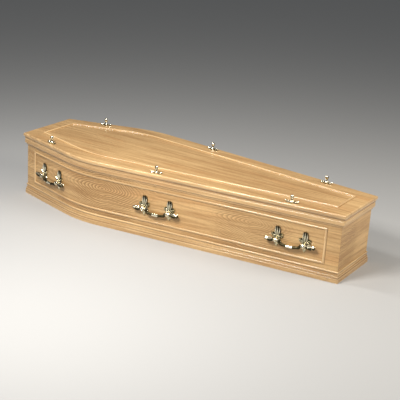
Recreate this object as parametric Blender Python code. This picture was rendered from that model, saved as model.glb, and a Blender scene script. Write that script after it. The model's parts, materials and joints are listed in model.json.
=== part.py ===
"""An oak coffin: open box, lift-off lid, six swing handles and six wreath holders.

Metres, +Z up. The origin is on the floor under the middle of the coffin, +X points to the
foot and -Y to the near side. The length and widths of the box are over the outer faces of
its boards. A moulding's section is a list of (out, z): how far a point stands out from the
outer face of the boards, and its height.
"""
import math
from collections import namedtuple

import bmesh
import bpy
from mathutils import Vector

# Box
BODY_LENGTH = 1.940
HEAD_WIDTH = 0.372
FOOT_WIDTH = 0.339
SHOULDER_WIDTH = 0.667          # over the corners where the straight runs of a side would meet
SHOULDER_FROM_HEAD = 0.490
SHOULDER_BEND_RADIUS = 0.600    # outer face of the kerfed bend
WALL_HEIGHT = 0.337
BOARD_THICKNESS = 0.018
BASE_THICKNESS = 0.018
TOUCH_GAP = 0.0003              # between pieces that touch
BEND_STEPS = 6

# Lid
LID_OVERHANG = 0.020
LID_THICKNESS = 0.018
LID_TOP_ROUND = 0.007
LID_UNDER_ROUND = 0.003
LID_ROUND_STEPS = 3
LID_DROP_HEIGHT = 0.0165
LID_DROP_SETBACK = 0.0055       # from the lid's edge
LID_DROP_PLAY = 0.002           # between the drop moulding and the walls
LID_DROP_COVE = 0.004
LID_BEAD_FROM_SIDE = 0.100      # lid edge to the middle of the bead
LID_BEAD_FROM_END = 0.087

# Beads on the lid and on the side panels
BEAD_WIDTH = 0.013
BEAD_RISE = 0.006
BEAD_STEPS = 5
PANEL_FROM_HEAD = 0.070
PANEL_FROM_FOOT = 0.070
PANEL_ABOVE_PLINTH = 0.022
PANEL_BELOW_MOULDING = 0.018

# Plinth
PLINTH_HEIGHT = 0.059
PLINTH_DEPTH = 0.010
PLINTH_FLAT = 0.021
PLINTH_STEP_DEPTH = 0.0075
PLINTH_STEP_TOP = 0.033
PLINTH_NECK_DEPTH = 0.0028
PLINTH_BEAD_RADIUS = 0.0055
PLINTH_COVE_STEPS = 3

# Moulding round the top of the box
TOP_MOULDING_HEIGHT = 0.032
TOP_MOULDING_DEPTH = 0.013
TOP_MOULDING_ROUND = 0.004
TOP_MOULDING_FACE = 0.016
TOP_MOULDING_FOOT_DEPTH = 0.005
TOP_MOULDING_COVE_STEPS = 3

# Handles
HEAD_HANDLE_BEFORE_BEND = 0.131
MIDDLE_HANDLE_TO_HEAD = 0.014   # from the middle of the box
FOOT_HANDLE_FROM_END = 0.248
PIVOT_HEIGHT = 0.157
PIVOT_OUT = 0.020
PLATE_SPACING = 0.145
PLATE_ABOVE_PIVOT = 0.071
PLATE_BELOW_PIVOT = 0.040
PLATE_HALF_WIDTH = 0.0305
PLATE_EDGE = 0.003
PLATE_CROWN = 0.0105            # of the spire
PLATE_BOSS = 0.008              # round the pivot, clear of the collars
KEEL_RISE = 0.003               # of the ridge up the spire, over its crown
KEEL_WIDTH = 0.006
KEEL_START = 0.016              # above the pivot
KEEL_TOP_SHARE = 0.85           # of the reach above the pivot
LUG_WALL = 0.0045
LUG_LENGTH = 0.014
LUG_STEPS = 5
JOURNAL_RADIUS = 0.0072
RUNNING_CLEARANCE = 0.0008      # all round the journal
END_PLAY = 0.001                # between a lug and the collars beside it
COLLAR_RADIUS = 0.0098
COLLAR_LENGTH = 0.004
FINIAL_LENGTH = 0.050
FINIAL_RADIUS = 0.013
GRIP_DROP = 0.0195
GRIP_RADIUS = 0.0093
GRIP_BAND = 0.017               # half length of the thicker middle
BAND_STEP = 0.0015
ARM_RADIUS = 0.0078
ELBOW = 0.0115                  # from the straight arm to the collar
BAIL_SIDES = 8

# Plate outline, right half from top to bottom: shares of the half width, and of the reach
# above the pivot or below it
PLATE_OUTLINE = (
    (0.00, 1.00), (0.15, 0.92), (0.32, 0.94), (0.43, 0.80), (0.46, 0.62), (0.36, 0.47), (1.00, 0.48),
    (0.54, 0.20), (0.58, -0.15), (0.80, -0.38), (0.42, -0.52), (0.27, -0.74), (0.00, -1.00),
)
PLATE_CROWN_SHARE = (0.50, 0.88)
# Finial from tip to neck: shares of its length and of its radius
FINIAL_OUTLINE = ((0.00, 0.15), (0.20, 0.70), (0.50, 1.00), (0.78, 0.92), (0.94, 0.55))
# Elbow of the bail: shares of its length back from the collar, and of the grip's drop
ELBOW_BEND = ((1.00, 0.74), (0.38, 0.34))

# Wreath holders
HOLDER_TO_HEAD = 0.020          # from the middle of the handle below it
HOLDER_ARM = 0.035
HOLDER_SIDE_LEAF = 0.018
HOLDER_WAIST = 0.010
HOLDER_HEIGHT = 0.042
HOLDER_SIDES = 12
# Holder rings: share of the height, share of the leafy outline, radius of the round stem
HOLDER_OUTLINE = (
    (0.00, 1.00, 0.0), (0.10, 1.00, 0.0), (0.20, 0.60, 0.0), (0.28, 0.10, 0.0062), (0.38, 0.0, 0.0043),
    (0.50, 0.0, 0.0066), (0.66, 0.0, 0.0082), (0.84, 0.0, 0.0070), (1.00, 0.0, 0.0016),
)

OAK_VENEER = ("oak_veneer", (0.55, 0.31, 0.12), 0.32, 0.0)
OAK_MOULDING = ("oak_moulding", (0.50, 0.27, 0.10), 0.30, 0.0)
PALE_BRASS = ("pale_brass", (0.72, 0.63, 0.40), 0.22, 1.0)

# Heights that follow from the sizes above
LID_UNDERSIDE = WALL_HEIGHT + TOUCH_GAP
LID_TOP = LID_UNDERSIDE + LID_THICKNESS
DROP_TOP = LID_UNDERSIDE - TOUCH_GAP
DROP_BOTTOM = DROP_TOP - LID_DROP_HEIGHT
MOULDING_TOP = DROP_BOTTOM - TOUCH_GAP
MOULDING_BOTTOM = MOULDING_TOP - TOP_MOULDING_HEIGHT
PANEL_BOTTOM = PLINTH_HEIGHT + PANEL_ABOVE_PLINTH
PANEL_TOP = MOULDING_BOTTOM - PANEL_BELOW_MOULDING

HALF_LENGTH = BODY_LENGTH / 2
MITRE_BACK = TOUCH_GAP / math.sqrt(2)    # each strip stops this far short of a mitre's plane
LUG_BORE = JOURNAL_RADIUS + RUNNING_CLEARANCE
LUG_RADIUS = LUG_BORE + LUG_WALL

NEAR, FAR = -1, 1
HEAD, FOOT = -1, 1
SIDE_NAMES = {NEAR: "near", FAR: "far"}
END_NAMES = {HEAD: "head", FOOT: "foot"}

Run = namedtuple("Run", "start along outward")


def straight_run(start, end):
    """The straight stretch of the far side's outer face from one plan point to another."""
    along = (end - start).normalized()
    return Run(start, along, Vector((-along.y, along.x)))


SHOULDER = Vector((SHOULDER_FROM_HEAD - HALF_LENGTH, SHOULDER_WIDTH / 2))
HEAD_RUN = straight_run(Vector((-HALF_LENGTH, HEAD_WIDTH / 2)), SHOULDER)
FOOT_RUN = straight_run(SHOULDER, Vector((HALF_LENGTH, FOOT_WIDTH / 2)))
BEND_CENTRE = SHOULDER - (HEAD_RUN.outward + FOOT_RUN.outward) * (
    SHOULDER_BEND_RADIUS / (1 + HEAD_RUN.outward.dot(FOOT_RUN.outward)))


def run_point(run, out, x):
    """The point of a run, moved outwards, that lies at x."""
    start = run.start + run.outward * out
    return start + run.along * ((x - start.x) / run.along.x)


def side_path(out, head_x, foot_x):
    """Plan points along the far side, moved outwards: straight, round the bend, straight."""
    first = math.atan2(HEAD_RUN.outward.y, HEAD_RUN.outward.x)
    last = math.atan2(FOOT_RUN.outward.y, FOOT_RUN.outward.x)
    points = [run_point(HEAD_RUN, out, head_x)]
    for step in range(BEND_STEPS + 1):
        angle = first + (last - first) * step / BEND_STEPS
        arm = Vector((math.cos(angle), math.sin(angle)))
        points.append(BEND_CENTRE + arm * (SHOULDER_BEND_RADIUS + out))
    points.append(run_point(FOOT_RUN, out, foot_x))
    return points


def outline(out):
    """The whole plan outline of the box, moved outwards, as one closed loop."""
    far = side_path(out, -HALF_LENGTH - out, HALF_LENGTH + out)
    near = [Vector((point.x, -point.y)) for point in reversed(far)]
    return far + near


def make_material(spec):
    """A Principled material from its name, colour, roughness and metallic value."""
    name, colour, roughness, metallic = spec
    if name in bpy.data.materials:
        return bpy.data.materials[name]
    material = bpy.data.materials.new(name)
    material.use_nodes = True
    shader = material.node_tree.nodes["Principled BSDF"]
    shader.inputs["Base Color"].default_value = (*colour, 1.0)
    shader.inputs["Roughness"].default_value = roughness
    shader.inputs["Metallic"].default_value = metallic
    return material


def mesh_from_rings(name, rings):
    """A closed mesh that joins rings of equally many points, with a face over each end."""
    bm = bmesh.new()
    loops = [[bm.verts.new(point) for point in ring] for ring in rings]
    for low, high in zip(loops, loops[1:]):
        for index in range(len(low)):
            after = (index + 1) % len(low)
            bm.faces.new((low[index], low[after], high[after], high[index]))
    ends = [bm.faces.new(loops[0]), bm.faces.new(loops[-1])]
    bmesh.ops.recalc_face_normals(bm, faces=bm.faces)
    bmesh.ops.triangulate(bm, faces=ends)
    mesh = bpy.data.meshes.new(name)
    bm.to_mesh(mesh)
    bm.free()
    mesh.shade_smooth()
    mesh.set_sharp_from_angle(angle=math.radians(35))
    return mesh


def add_object(name, mesh, spec, location=(0, 0, 0), turn=0.0):
    """One named sub-part, turned about Z and placed."""
    material = make_material(spec)
    if material.name not in mesh.materials:
        mesh.materials.append(material)
    piece = bpy.data.objects.new(name, mesh)
    piece.location = location
    piece.rotation_euler.z = turn
    bpy.context.scene.collection.objects.link(piece)
    return piece


def side_strip(name, section, spec, side, end_shift=0.0):
    """A board or moulding along one side, mitred at both ends of the box."""
    paths = []
    for out, _ in section:
        reach = HALF_LENGTH + out + end_shift - MITRE_BACK
        paths.append(side_path(out, -reach, reach))
    rings = [
        [(point.x, side * point.y, z) for point, (_, z) in zip(station, section)]
        for station in zip(*paths)
    ]
    add_object(f"{name}_{SIDE_NAMES[side]}", mesh_from_rings(name, rings), spec)


def end_strip(name, section, spec, end, end_shift=0.0):
    """A board or moulding across the head or the foot, mitred at both sides."""
    run = HEAD_RUN if end == HEAD else FOOT_RUN
    corners = []
    for out, z in section:
        x = end * (HALF_LENGTH + out + end_shift)
        corners.append((x, run_point(run, out, x).y - MITRE_BACK, z))
    rings = [[(x, side * y, z) for x, y, z in corners] for side in (NEAR, FAR)]
    add_object(f"{name}_{END_NAMES[end]}", mesh_from_rings(name, rings), spec)


def ring_of_strips(name, section, spec, end_shift=0.0):
    """Four mitred strips of one section right round the box."""
    for side in (NEAR, FAR):
        side_strip(name, section, spec, side, end_shift)
    for end in (HEAD, FOOT):
        end_strip(name, section, spec, end, end_shift)


def arc(centre, radius, first, last, steps):
    """Points on an arc, with angles in degrees."""
    points = []
    for step in range(steps + 1):
        angle = math.radians(first + (last - first) * step / steps)
        points.append((centre[0] + radius * math.cos(angle), centre[1] + radius * math.sin(angle)))
    return points


def bead_section():
    """A half-round bead as (across, rise), starting and ending on its base."""
    return [
        (BEAD_WIDTH / 2 * (1 - math.cos(math.pi * step / BEAD_STEPS)),
         TOUCH_GAP + BEAD_RISE * math.sin(math.pi * step / BEAD_STEPS))
        for step in range(BEAD_STEPS + 1)
    ]


def plinth_section():
    """Flat foot, a step, a cove up to the neck and a bead along the top edge."""
    bead_centre = (PLINTH_NECK_DEPTH - PLINTH_BEAD_RADIUS * 0.5, PLINTH_HEIGHT - PLINTH_BEAD_RADIUS)
    cove_top = bead_centre[1] - PLINTH_BEAD_RADIUS - 0.002
    cove = []
    for step in range(PLINTH_COVE_STEPS + 1):
        angle = math.pi / 2 * step / PLINTH_COVE_STEPS
        out = PLINTH_NECK_DEPTH + (PLINTH_STEP_DEPTH - PLINTH_NECK_DEPTH) * (1 - math.sin(angle))
        cove.append((out, cove_top + (PLINTH_STEP_TOP - cove_top) * math.cos(angle)))
    bead = arc(bead_centre, PLINTH_BEAD_RADIUS, -55, 55, 3)
    return (
        [(TOUCH_GAP, 0), (PLINTH_DEPTH, 0), (PLINTH_DEPTH, PLINTH_FLAT)]
        + [(PLINTH_STEP_DEPTH, PLINTH_FLAT + PLINTH_DEPTH - PLINTH_STEP_DEPTH)]
        + cove
        + bead
        + [(TOUCH_GAP, PLINTH_HEIGHT)]
    )


def top_moulding_section():
    """A rounded shoulder, a flat face and a cove down to a thin foot."""
    shoulder_centre = (TOP_MOULDING_DEPTH - TOP_MOULDING_ROUND, MOULDING_TOP - TOP_MOULDING_ROUND)
    shoulder = arc(shoulder_centre, TOP_MOULDING_ROUND, 90, 0, 2)
    face_bottom = shoulder_centre[1] - TOP_MOULDING_FACE
    cove = []
    for step in range(TOP_MOULDING_COVE_STEPS + 1):
        angle = math.pi / 2 * step / TOP_MOULDING_COVE_STEPS
        spread = TOP_MOULDING_DEPTH - TOP_MOULDING_FOOT_DEPTH
        out = TOP_MOULDING_FOOT_DEPTH + spread * (1 - math.sin(angle))
        cove.append((out, MOULDING_BOTTOM + (face_bottom - MOULDING_BOTTOM) * math.cos(angle)))
    return [(TOUCH_GAP, MOULDING_TOP)] + shoulder + cove + [(TOUCH_GAP, MOULDING_BOTTOM)]


def lid_drop_section():
    """A fillet under the rim and a shallow cove below it."""
    out = LID_OVERHANG - LID_DROP_SETBACK
    cove_out = out - LID_DROP_COVE / 2
    return [
        (LID_DROP_PLAY, DROP_TOP),
        (out, DROP_TOP),
        (out, DROP_TOP - LID_DROP_COVE),
        (cove_out, DROP_TOP - LID_DROP_COVE * 1.5),
        (cove_out, DROP_BOTTOM + LID_DROP_COVE / 2),
        (cove_out - LID_DROP_COVE / 2, DROP_BOTTOM),
        (LID_DROP_PLAY, DROP_BOTTOM),
    ]


def build_boards():
    """The base, the two bent sides and the two ends."""
    base_outline = outline(-BOARD_THICKNESS - TOUCH_GAP)
    rings = [[(*point, z) for point in base_outline] for z in (0, BASE_THICKNESS)]
    add_object("base_board", mesh_from_rings("base_board", rings), OAK_VENEER)
    section = [(-BOARD_THICKNESS, 0), (0, 0), (0, WALL_HEIGHT), (-BOARD_THICKNESS, WALL_HEIGHT)]
    for side in (NEAR, FAR):
        side_strip("side_board", section, OAK_VENEER, side)
    for end in (HEAD, FOOT):
        end_strip("end_board", section, OAK_VENEER, end)


def build_panel_bead(side):
    """Four bead strips that frame one long side, mitred at their corners."""
    name = f"panel_bead_{SIDE_NAMES[side]}"
    head = run_point(HEAD_RUN, 0, PANEL_FROM_HEAD - HALF_LENGTH)
    foot = run_point(FOOT_RUN, 0, HALF_LENGTH - PANEL_FROM_FOOT)
    section = bead_section()
    for edge, z_edge, inward in (("top", PANEL_TOP, -1), ("bottom", PANEL_BOTTOM, 1)):
        paths = []
        for across, rise in section:
            start = head + HEAD_RUN.along * (across + MITRE_BACK) + HEAD_RUN.outward * rise
            stop = foot - FOOT_RUN.along * (across + MITRE_BACK) + FOOT_RUN.outward * rise
            paths.append(side_path(rise, start.x, stop.x))
        rings = [
            [(point.x, side * point.y, z_edge + inward * across)
             for point, (across, _) in zip(station, section)]
            for station in zip(*paths)
        ]
        add_object(f"{name}_{edge}", mesh_from_rings(name, rings), OAK_MOULDING)
    for edge, corner, run, inward in (("head", head, HEAD_RUN, 1), ("foot", foot, FOOT_RUN, -1)):
        rings = []
        for z_edge, rising in ((PANEL_BOTTOM, 1), (PANEL_TOP, -1)):
            ring = []
            for across, rise in section:
                point = corner + run.along * (inward * across) + run.outward * rise
                ring.append((point.x, side * point.y, z_edge + rising * (across + MITRE_BACK)))
            rings.append(ring)
        add_object(f"{name}_{edge}", mesh_from_rings(name, rings), OAK_MOULDING)


def build_lid():
    """The lid board with its moulded edge, the strips under its rim and the bead on its top."""
    under_centre = (LID_OVERHANG - LID_UNDER_ROUND, LID_UNDERSIDE + LID_UNDER_ROUND)
    top_centre = (LID_OVERHANG - LID_TOP_ROUND, LID_TOP - LID_TOP_ROUND)
    edge = arc(under_centre, LID_UNDER_ROUND, -90, 0, 1)
    edge += arc(top_centre, LID_TOP_ROUND, 0, 90, LID_ROUND_STEPS)
    rings = [[(*point, z) for point in outline(out)] for out, z in edge]
    add_object("lid_board", mesh_from_rings("lid_board", rings), OAK_VENEER)
    ring_of_strips("lid_drop", lid_drop_section(), OAK_MOULDING)
    middle = LID_OVERHANG - LID_BEAD_FROM_SIDE
    section = [(middle + BEAD_WIDTH / 2 - across, LID_TOP + rise) for across, rise in bead_section()]
    ring_of_strips("lid_bead", section, OAK_MOULDING, LID_BEAD_FROM_SIDE - LID_BEAD_FROM_END)


def handle_places():
    """Where each handle stands on the far side's outer face: name, plan point and run."""
    bend_start = side_path(0, -HALF_LENGTH, HALF_LENGTH)[1].x
    places = (
        ("head", HEAD_RUN, bend_start - HEAD_HANDLE_BEFORE_BEND),
        ("middle", FOOT_RUN, -MIDDLE_HANDLE_TO_HEAD),
        ("foot", FOOT_RUN, HALF_LENGTH - FOOT_HANDLE_FROM_END),
    )
    return [(name, run_point(run, 0, x), run) for name, run, x in places]


def on_side(side, point, along):
    """A plan point and the turn of a piece that faces out, on the near or the far side."""
    slope = math.atan2(along.y, along.x)
    turn = -slope if side == NEAR else math.pi + slope
    return Vector((point.x, side * point.y)), turn


def extruded(name, section, half_width):
    """A closed prism from a section in (out, z), standing out along -Y, as wide as stated."""
    rings = [[(x, -out, z) for out, z in section] for x in (-half_width, half_width)]
    return mesh_from_rings(name, rings)


def keel_mesh():
    """A ridge up the spire, with its foot sunk in the plate."""
    foot = PLATE_EDGE + TOUCH_GAP
    crest = PLATE_CROWN + KEEL_RISE
    rings = [
        [(-KEEL_WIDTH / 2, -foot, z), (KEEL_WIDTH / 2, -foot, z), (0, -crest, z)]
        for z in (KEEL_START, PLATE_ABOVE_PIVOT * KEEL_TOP_SHARE)
    ]
    return mesh_from_rings("keel", rings)


def plate_mesh():
    """A leaf-shaped back plate with a lug, slotted from the back so that the bail drops in."""
    right = [
        (across * PLATE_HALF_WIDTH, up * (PLATE_ABOVE_PIVOT if up > 0 else PLATE_BELOW_PIVOT))
        for across, up in PLATE_OUTLINE
    ]
    loop = right + [(-x, z) for x, z in reversed(right[1:-1])]
    crown_across, crown_up = PLATE_CROWN_SHARE
    crown = []
    for x, z in loop:
        out = PLATE_CROWN if z > KEEL_START else PLATE_BOSS
        crown.append((x * crown_across, -out, z * crown_up))
    rings = [[(x, -TOUCH_GAP, z) for x, z in loop], [(x, -PLATE_EDGE, z) for x, z in loop], crown]
    pivot = (PIVOT_OUT, 0)
    lug_foot = (PLATE_EDGE + TOUCH_GAP) / 2
    lug = [(lug_foot, -LUG_RADIUS)] + arc(pivot, LUG_RADIUS, -90, 90, LUG_STEPS) + [(lug_foot, LUG_RADIUS)]
    slot = [(-LUG_BORE, -LUG_BORE)] + arc(pivot, LUG_BORE, -90, 90, LUG_STEPS) + [(-LUG_BORE, LUG_BORE)]
    plate = add_object("plate_blank", mesh_from_rings("handle_plate", rings), PALE_BRASS)
    steps = (
        ("UNION", keel_mesh()),
        ("UNION", extruded("lug", lug, LUG_LENGTH / 2)),
        ("DIFFERENCE", extruded("slot", slot, LUG_LENGTH / 2 + END_PLAY)),
    )
    helpers = []
    for operation, tool in steps:
        helper = add_object("plate_tool", tool, PALE_BRASS)
        helper.hide_render = True
        helper.display_type = "WIRE"
        boolean = plate.modifiers.new(operation.lower(), "BOOLEAN")
        boolean.operation = operation
        boolean.solver = "EXACT"
        boolean.object = helper
        helpers.append(helper)
    bpy.context.view_layer.update()
    mesh = bpy.data.meshes.new_from_object(plate.evaluated_get(bpy.context.evaluated_depsgraph_get()))
    mesh.name = "handle_plate"
    for piece in [plate] + helpers:
        bpy.data.objects.remove(piece)
    return mesh


def bail_stations():
    """Centre and radius along the bail, from its middle to one tip: (x, z, radius)."""
    lug_middle = PLATE_SPACING / 2
    play = LUG_LENGTH / 2 + END_PLAY
    blend = (COLLAR_RADIUS - JOURNAL_RADIUS) / 4
    arm_end = lug_middle - play - COLLAR_LENGTH
    stations = [(GRIP_BAND, -GRIP_DROP, GRIP_RADIUS), (GRIP_BAND + BAND_STEP, -GRIP_DROP, ARM_RADIUS)]
    for back, fall in ELBOW_BEND:
        stations.append((arm_end - ELBOW * back, -GRIP_DROP * fall, ARM_RADIUS))
    stations += [
        (arm_end, 0.0, COLLAR_RADIUS),
        (lug_middle - play, 0.0, COLLAR_RADIUS),
        (lug_middle - play + blend, 0.0, JOURNAL_RADIUS),
        (lug_middle + play - blend, 0.0, JOURNAL_RADIUS),
        (lug_middle + play, 0.0, COLLAR_RADIUS),
        (lug_middle + play + COLLAR_LENGTH, 0.0, COLLAR_RADIUS),
    ]
    tip = lug_middle + play + COLLAR_LENGTH + FINIAL_LENGTH
    for along, swell in reversed(FINIAL_OUTLINE):
        stations.append((tip - along * FINIAL_LENGTH, 0.0, swell * FINIAL_RADIUS))
    return stations


def bail_mesh():
    """The grip, its arms, journals, collars and finials, cast as one piece about the pivot."""
    half = bail_stations()
    stations = [(-x, z, radius) for x, z, radius in reversed(half)] + half
    rings = []
    for index, (x, z, radius) in enumerate(stations):
        along = Vector((1, 0, 0))
        if z < 0:
            before, after = stations[index - 1], stations[index + 1]
            along = Vector((after[0] - before[0], 0, after[1] - before[1])).normalized()
        up = Vector((-along.z, 0, along.x))
        ring = []
        for corner in range(BAIL_SIDES):
            angle = 2 * math.pi * (corner + 0.5) / BAIL_SIDES
            arm = up * math.sin(angle) + Vector((0, math.cos(angle), 0))
            ring.append(Vector((x, 0, z)) + arm * radius)
        rings.append(ring)
    return mesh_from_rings("bail", rings)


def build_handles():
    """Three handles on each side: two back plates and a bail that turns in their lugs."""
    plate = plate_mesh()
    bail = bail_mesh()
    for side in (NEAR, FAR):
        for place, middle, run in handle_places():
            name = f"{SIDE_NAMES[side]}_{place}"
            for end in (HEAD, FOOT):
                point = middle + run.along * (end * PLATE_SPACING / 2)
                spot, turn = on_side(side, point, run.along)
                location = (*spot, PIVOT_HEIGHT)
                add_object(f"handle_plate_{name}_{END_NAMES[end]}", plate, PALE_BRASS, location, turn)
            spot, turn = on_side(side, middle + run.outward * PIVOT_OUT, run.along)
            add_object(f"bail_{name}", bail, PALE_BRASS, (*spot, PIVOT_HEIGHT), turn)


def holder_mesh():
    """A four-leaved foot that draws in to a stem and swells into a bud."""
    rings = []
    for height, leafy, radius in HOLDER_OUTLINE:
        ring = []
        for corner in range(HOLDER_SIDES):
            angle = 2 * math.pi * corner / HOLDER_SIDES
            arm = (HOLDER_ARM - HOLDER_WAIST) * math.cos(angle) ** 6
            leaf = (HOLDER_SIDE_LEAF - HOLDER_WAIST) * math.sin(angle) ** 6
            reach = leafy * (HOLDER_WAIST + arm + leaf) + radius
            ring.append((reach * math.cos(angle), reach * math.sin(angle), height * HOLDER_HEIGHT))
        rings.append(ring)
    return mesh_from_rings("wreath_holder", rings)


def build_wreath_holders():
    """Six holders on the lid's margin, one above each handle."""
    holder = holder_mesh()
    inward = -BOARD_THICKNESS / 2        # over the middle of the side board's edge
    for side in (NEAR, FAR):
        for place, middle, run in handle_places():
            spot, turn = on_side(side, run_point(run, inward, middle.x - HOLDER_TO_HEAD), run.along)
            location = (*spot, LID_TOP + TOUCH_GAP)
            add_object(f"wreath_holder_{SIDE_NAMES[side]}_{place}", holder, PALE_BRASS, location, turn)


def main():
    """Clear the scene and build the coffin from the floor up."""
    for item in list(bpy.data.objects):
        bpy.data.objects.remove(item)
    build_boards()
    ring_of_strips("plinth", plinth_section(), OAK_MOULDING)
    ring_of_strips("top_moulding", top_moulding_section(), OAK_MOULDING)
    for side in (NEAR, FAR):
        build_panel_bead(side)
    build_lid()
    build_handles()
    build_wreath_holders()


main()
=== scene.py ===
"""Looks of a panelled oak coffin with cast brass handles and wreath holders.

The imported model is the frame. The boards and mouldings are swept again round the same plan
with finer sections, so that the grain follows every strip, and the castings are modelled in
full. Metres, +Z up, +X to the foot and -Y to the near side, as in the frame.
"""
from __future__ import annotations

import json
import logging
import math
from dataclasses import dataclass, field, replace
from enum import Enum
from typing import Any, Sequence

import bmesh
import bpy
import numpy as np
from mathutils import Matrix, Vector


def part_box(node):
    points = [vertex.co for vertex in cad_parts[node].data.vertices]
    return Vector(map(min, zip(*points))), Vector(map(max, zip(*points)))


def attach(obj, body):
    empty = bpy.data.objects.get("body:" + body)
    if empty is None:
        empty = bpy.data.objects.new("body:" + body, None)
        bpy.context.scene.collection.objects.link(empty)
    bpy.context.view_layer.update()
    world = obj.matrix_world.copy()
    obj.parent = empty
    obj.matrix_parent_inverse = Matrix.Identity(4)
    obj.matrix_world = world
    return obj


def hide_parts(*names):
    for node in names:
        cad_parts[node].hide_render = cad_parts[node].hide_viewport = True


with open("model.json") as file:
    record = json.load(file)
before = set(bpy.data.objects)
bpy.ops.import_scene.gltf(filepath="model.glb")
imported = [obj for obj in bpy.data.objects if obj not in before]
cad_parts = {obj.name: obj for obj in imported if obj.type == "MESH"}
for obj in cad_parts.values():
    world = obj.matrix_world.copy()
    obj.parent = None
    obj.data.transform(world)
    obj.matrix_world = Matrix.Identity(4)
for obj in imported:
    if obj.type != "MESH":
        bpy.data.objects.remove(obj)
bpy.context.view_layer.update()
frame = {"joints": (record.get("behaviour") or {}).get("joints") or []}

LOG = logging.getLogger("coffin")
ROOT_BODY = "coffin"
TOUCH_GAP = 0.0003
Colour = tuple[float, float, float]


class Side(Enum):
    """A long side of the coffin, with the sign of its Y."""

    NEAR = -1
    FAR = 1

    @property
    def label(self) -> str:
        """The word that node names use."""
        return self.name.lower()


class End(Enum):
    """An end of the coffin, with the sign of its X."""

    HEAD = -1
    FOOT = 1

    @property
    def label(self) -> str:
        """The word that node names use."""
        return self.name.lower()


class Value:
    """A shader socket that Python's operators turn into Math nodes."""

    def __init__(self, graph: "Graph", socket: bpy.types.NodeSocket) -> None:
        self.graph = graph
        self.socket = socket

    def __add__(self, other: Any) -> "Value":
        """Sum."""
        return self.graph.maths("ADD", self, other)

    def __radd__(self, other: Any) -> "Value":
        """Sum with a number on the left."""
        return self.graph.maths("ADD", other, self)

    def __sub__(self, other: Any) -> "Value":
        """Difference."""
        return self.graph.maths("SUBTRACT", self, other)

    def __rsub__(self, other: Any) -> "Value":
        """Difference from a number on the left."""
        return self.graph.maths("SUBTRACT", other, self)

    def __mul__(self, other: Any) -> "Value":
        """Product."""
        return self.graph.maths("MULTIPLY", self, other)

    def __rmul__(self, other: Any) -> "Value":
        """Product with a number on the left."""
        return self.graph.maths("MULTIPLY", other, self)

    def __truediv__(self, other: Any) -> "Value":
        """Quotient."""
        return self.graph.maths("DIVIDE", self, other)

    def __pow__(self, other: Any) -> "Value":
        """Power."""
        return self.graph.maths("POWER", self, other)

    def sine(self) -> "Value":
        """Sine of radians."""
        return self.graph.maths("SINE", self)

    def part(self) -> "Value":
        """What is left over a whole number."""
        return self.graph.maths("FRACT", self)

    def step(self, low: float, high: float) -> "Value":
        """Smooth step from 0 at low to 1 at high."""
        ends = {"Value": self, "From Min": low, "From Max": high, "To Min": 0.0, "To Max": 1.0}
        return self.graph.node("ShaderNodeMapRange", {"interpolation_type": "SMOOTHSTEP"}, ends)


class Graph:
    """The node tree of a material or of the world, fed by values and numbers."""

    def __init__(self, owner: bpy.types.Material | bpy.types.World, shader: str = "Principled BSDF") -> None:
        owner.use_nodes = True
        self.owner = owner
        self.tree = owner.node_tree
        self.shader = self.tree.nodes[shader]

    def feed(self, socket: bpy.types.NodeSocket, value: Any) -> None:
        """Links a value to a socket, or sets a plain number or colour on it."""
        if isinstance(value, Value):
            self.tree.links.new(value.socket, socket)
        else:
            socket.default_value = value

    def node(self, kind: str, settings: dict, inputs: dict, output: int | str = 0) -> Value:
        """Adds a node.

        Args:
            kind: the node's type.
            settings: its properties, set first.
            inputs: values or links by socket name or index.
            output: the socket that is returned.

        Returns:
            The chosen output.
        """
        made = self.tree.nodes.new(kind)
        for key, value in settings.items():
            setattr(made, key, value)
        for key, value in inputs.items():
            self.feed(made.inputs[key], value)
        return Value(self, made.outputs[output])

    def maths(self, operation: str, *values: Any) -> Value:
        """One Math node."""
        return self.node("ShaderNodeMath", {"operation": operation}, dict(enumerate(values)))

    def vector(self, x: Any, y: Any, z: Any = 0.0) -> Value:
        """A vector from three values."""
        return self.node("ShaderNodeCombineXYZ", {}, {0: x, 1: y, 2: z})

    def noise(self, place: Value, detail: float = 2.0, roughness: float = 0.5) -> Value:
        """Noise between 0 and 1 at a vector whose unit is the size of its features."""
        settings = {"Vector": place, "Scale": 1.0, "Detail": detail, "Roughness": roughness}
        return self.node("ShaderNodeTexNoise", {}, settings)

    def mix(self, low: Any, high: Any, factor: Any) -> Value:
        """A colour between two others.

        Args:
            low: the colour at factor 0, a tuple or a link.
            high: the colour at factor 1.
            factor: how far to go, a number or a link.

        Returns:
            The mixed colour.
        """
        first, second = ((*item, 1.0) if isinstance(item, tuple) else item for item in (low, high))
        return self.node("ShaderNodeMix", {"data_type": "RGBA"}, {0: factor, 6: first, 7: second}, 2)

    def dress(self, inputs: dict, height: Value, relief: float) -> bpy.types.Material:
        """Feeds the shader, and a bump of the stated relief in metres.

        Args:
            inputs: the shader's inputs by name.
            height: relief between 0 and 1.
            relief: depth of the relief in metres.

        Returns:
            The finished material.
        """
        bump = self.node("ShaderNodeBump", {}, {"Strength": 1.0, "Distance": relief, "Height": height})
        for name, value in {**inputs, "Normal": bump}.items():
            self.feed(self.shader.inputs[name], value)
        return self.owner

    def split(self, vector: Value) -> list[Value]:
        """The three parts of a vector."""
        parts = self.node("ShaderNodeSeparateXYZ", {}, {0: vector})
        return [Value(self, socket) for socket in parts.socket.node.outputs]


def darker(colour: Colour, share: float) -> Colour:
    """A share of a colour's light."""
    return tuple(share * part for part in colour)


@dataclass(frozen=True)
class Heart:
    """Where the figure of a flat-sawn board closes into eyes, in metres of its UV map."""

    along: float
    across: float
    period: float
    slope: float


@dataclass(frozen=True)
class Ramp:
    """A smooth step between two values, up to a share."""

    low: float = 0.0
    high: float = 1.0
    share: float = 1.0

    def over(self, value: Value) -> Value:
        """0 below the low value and the share above the high one."""
        return value.step(self.low, self.high) * self.share


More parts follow.
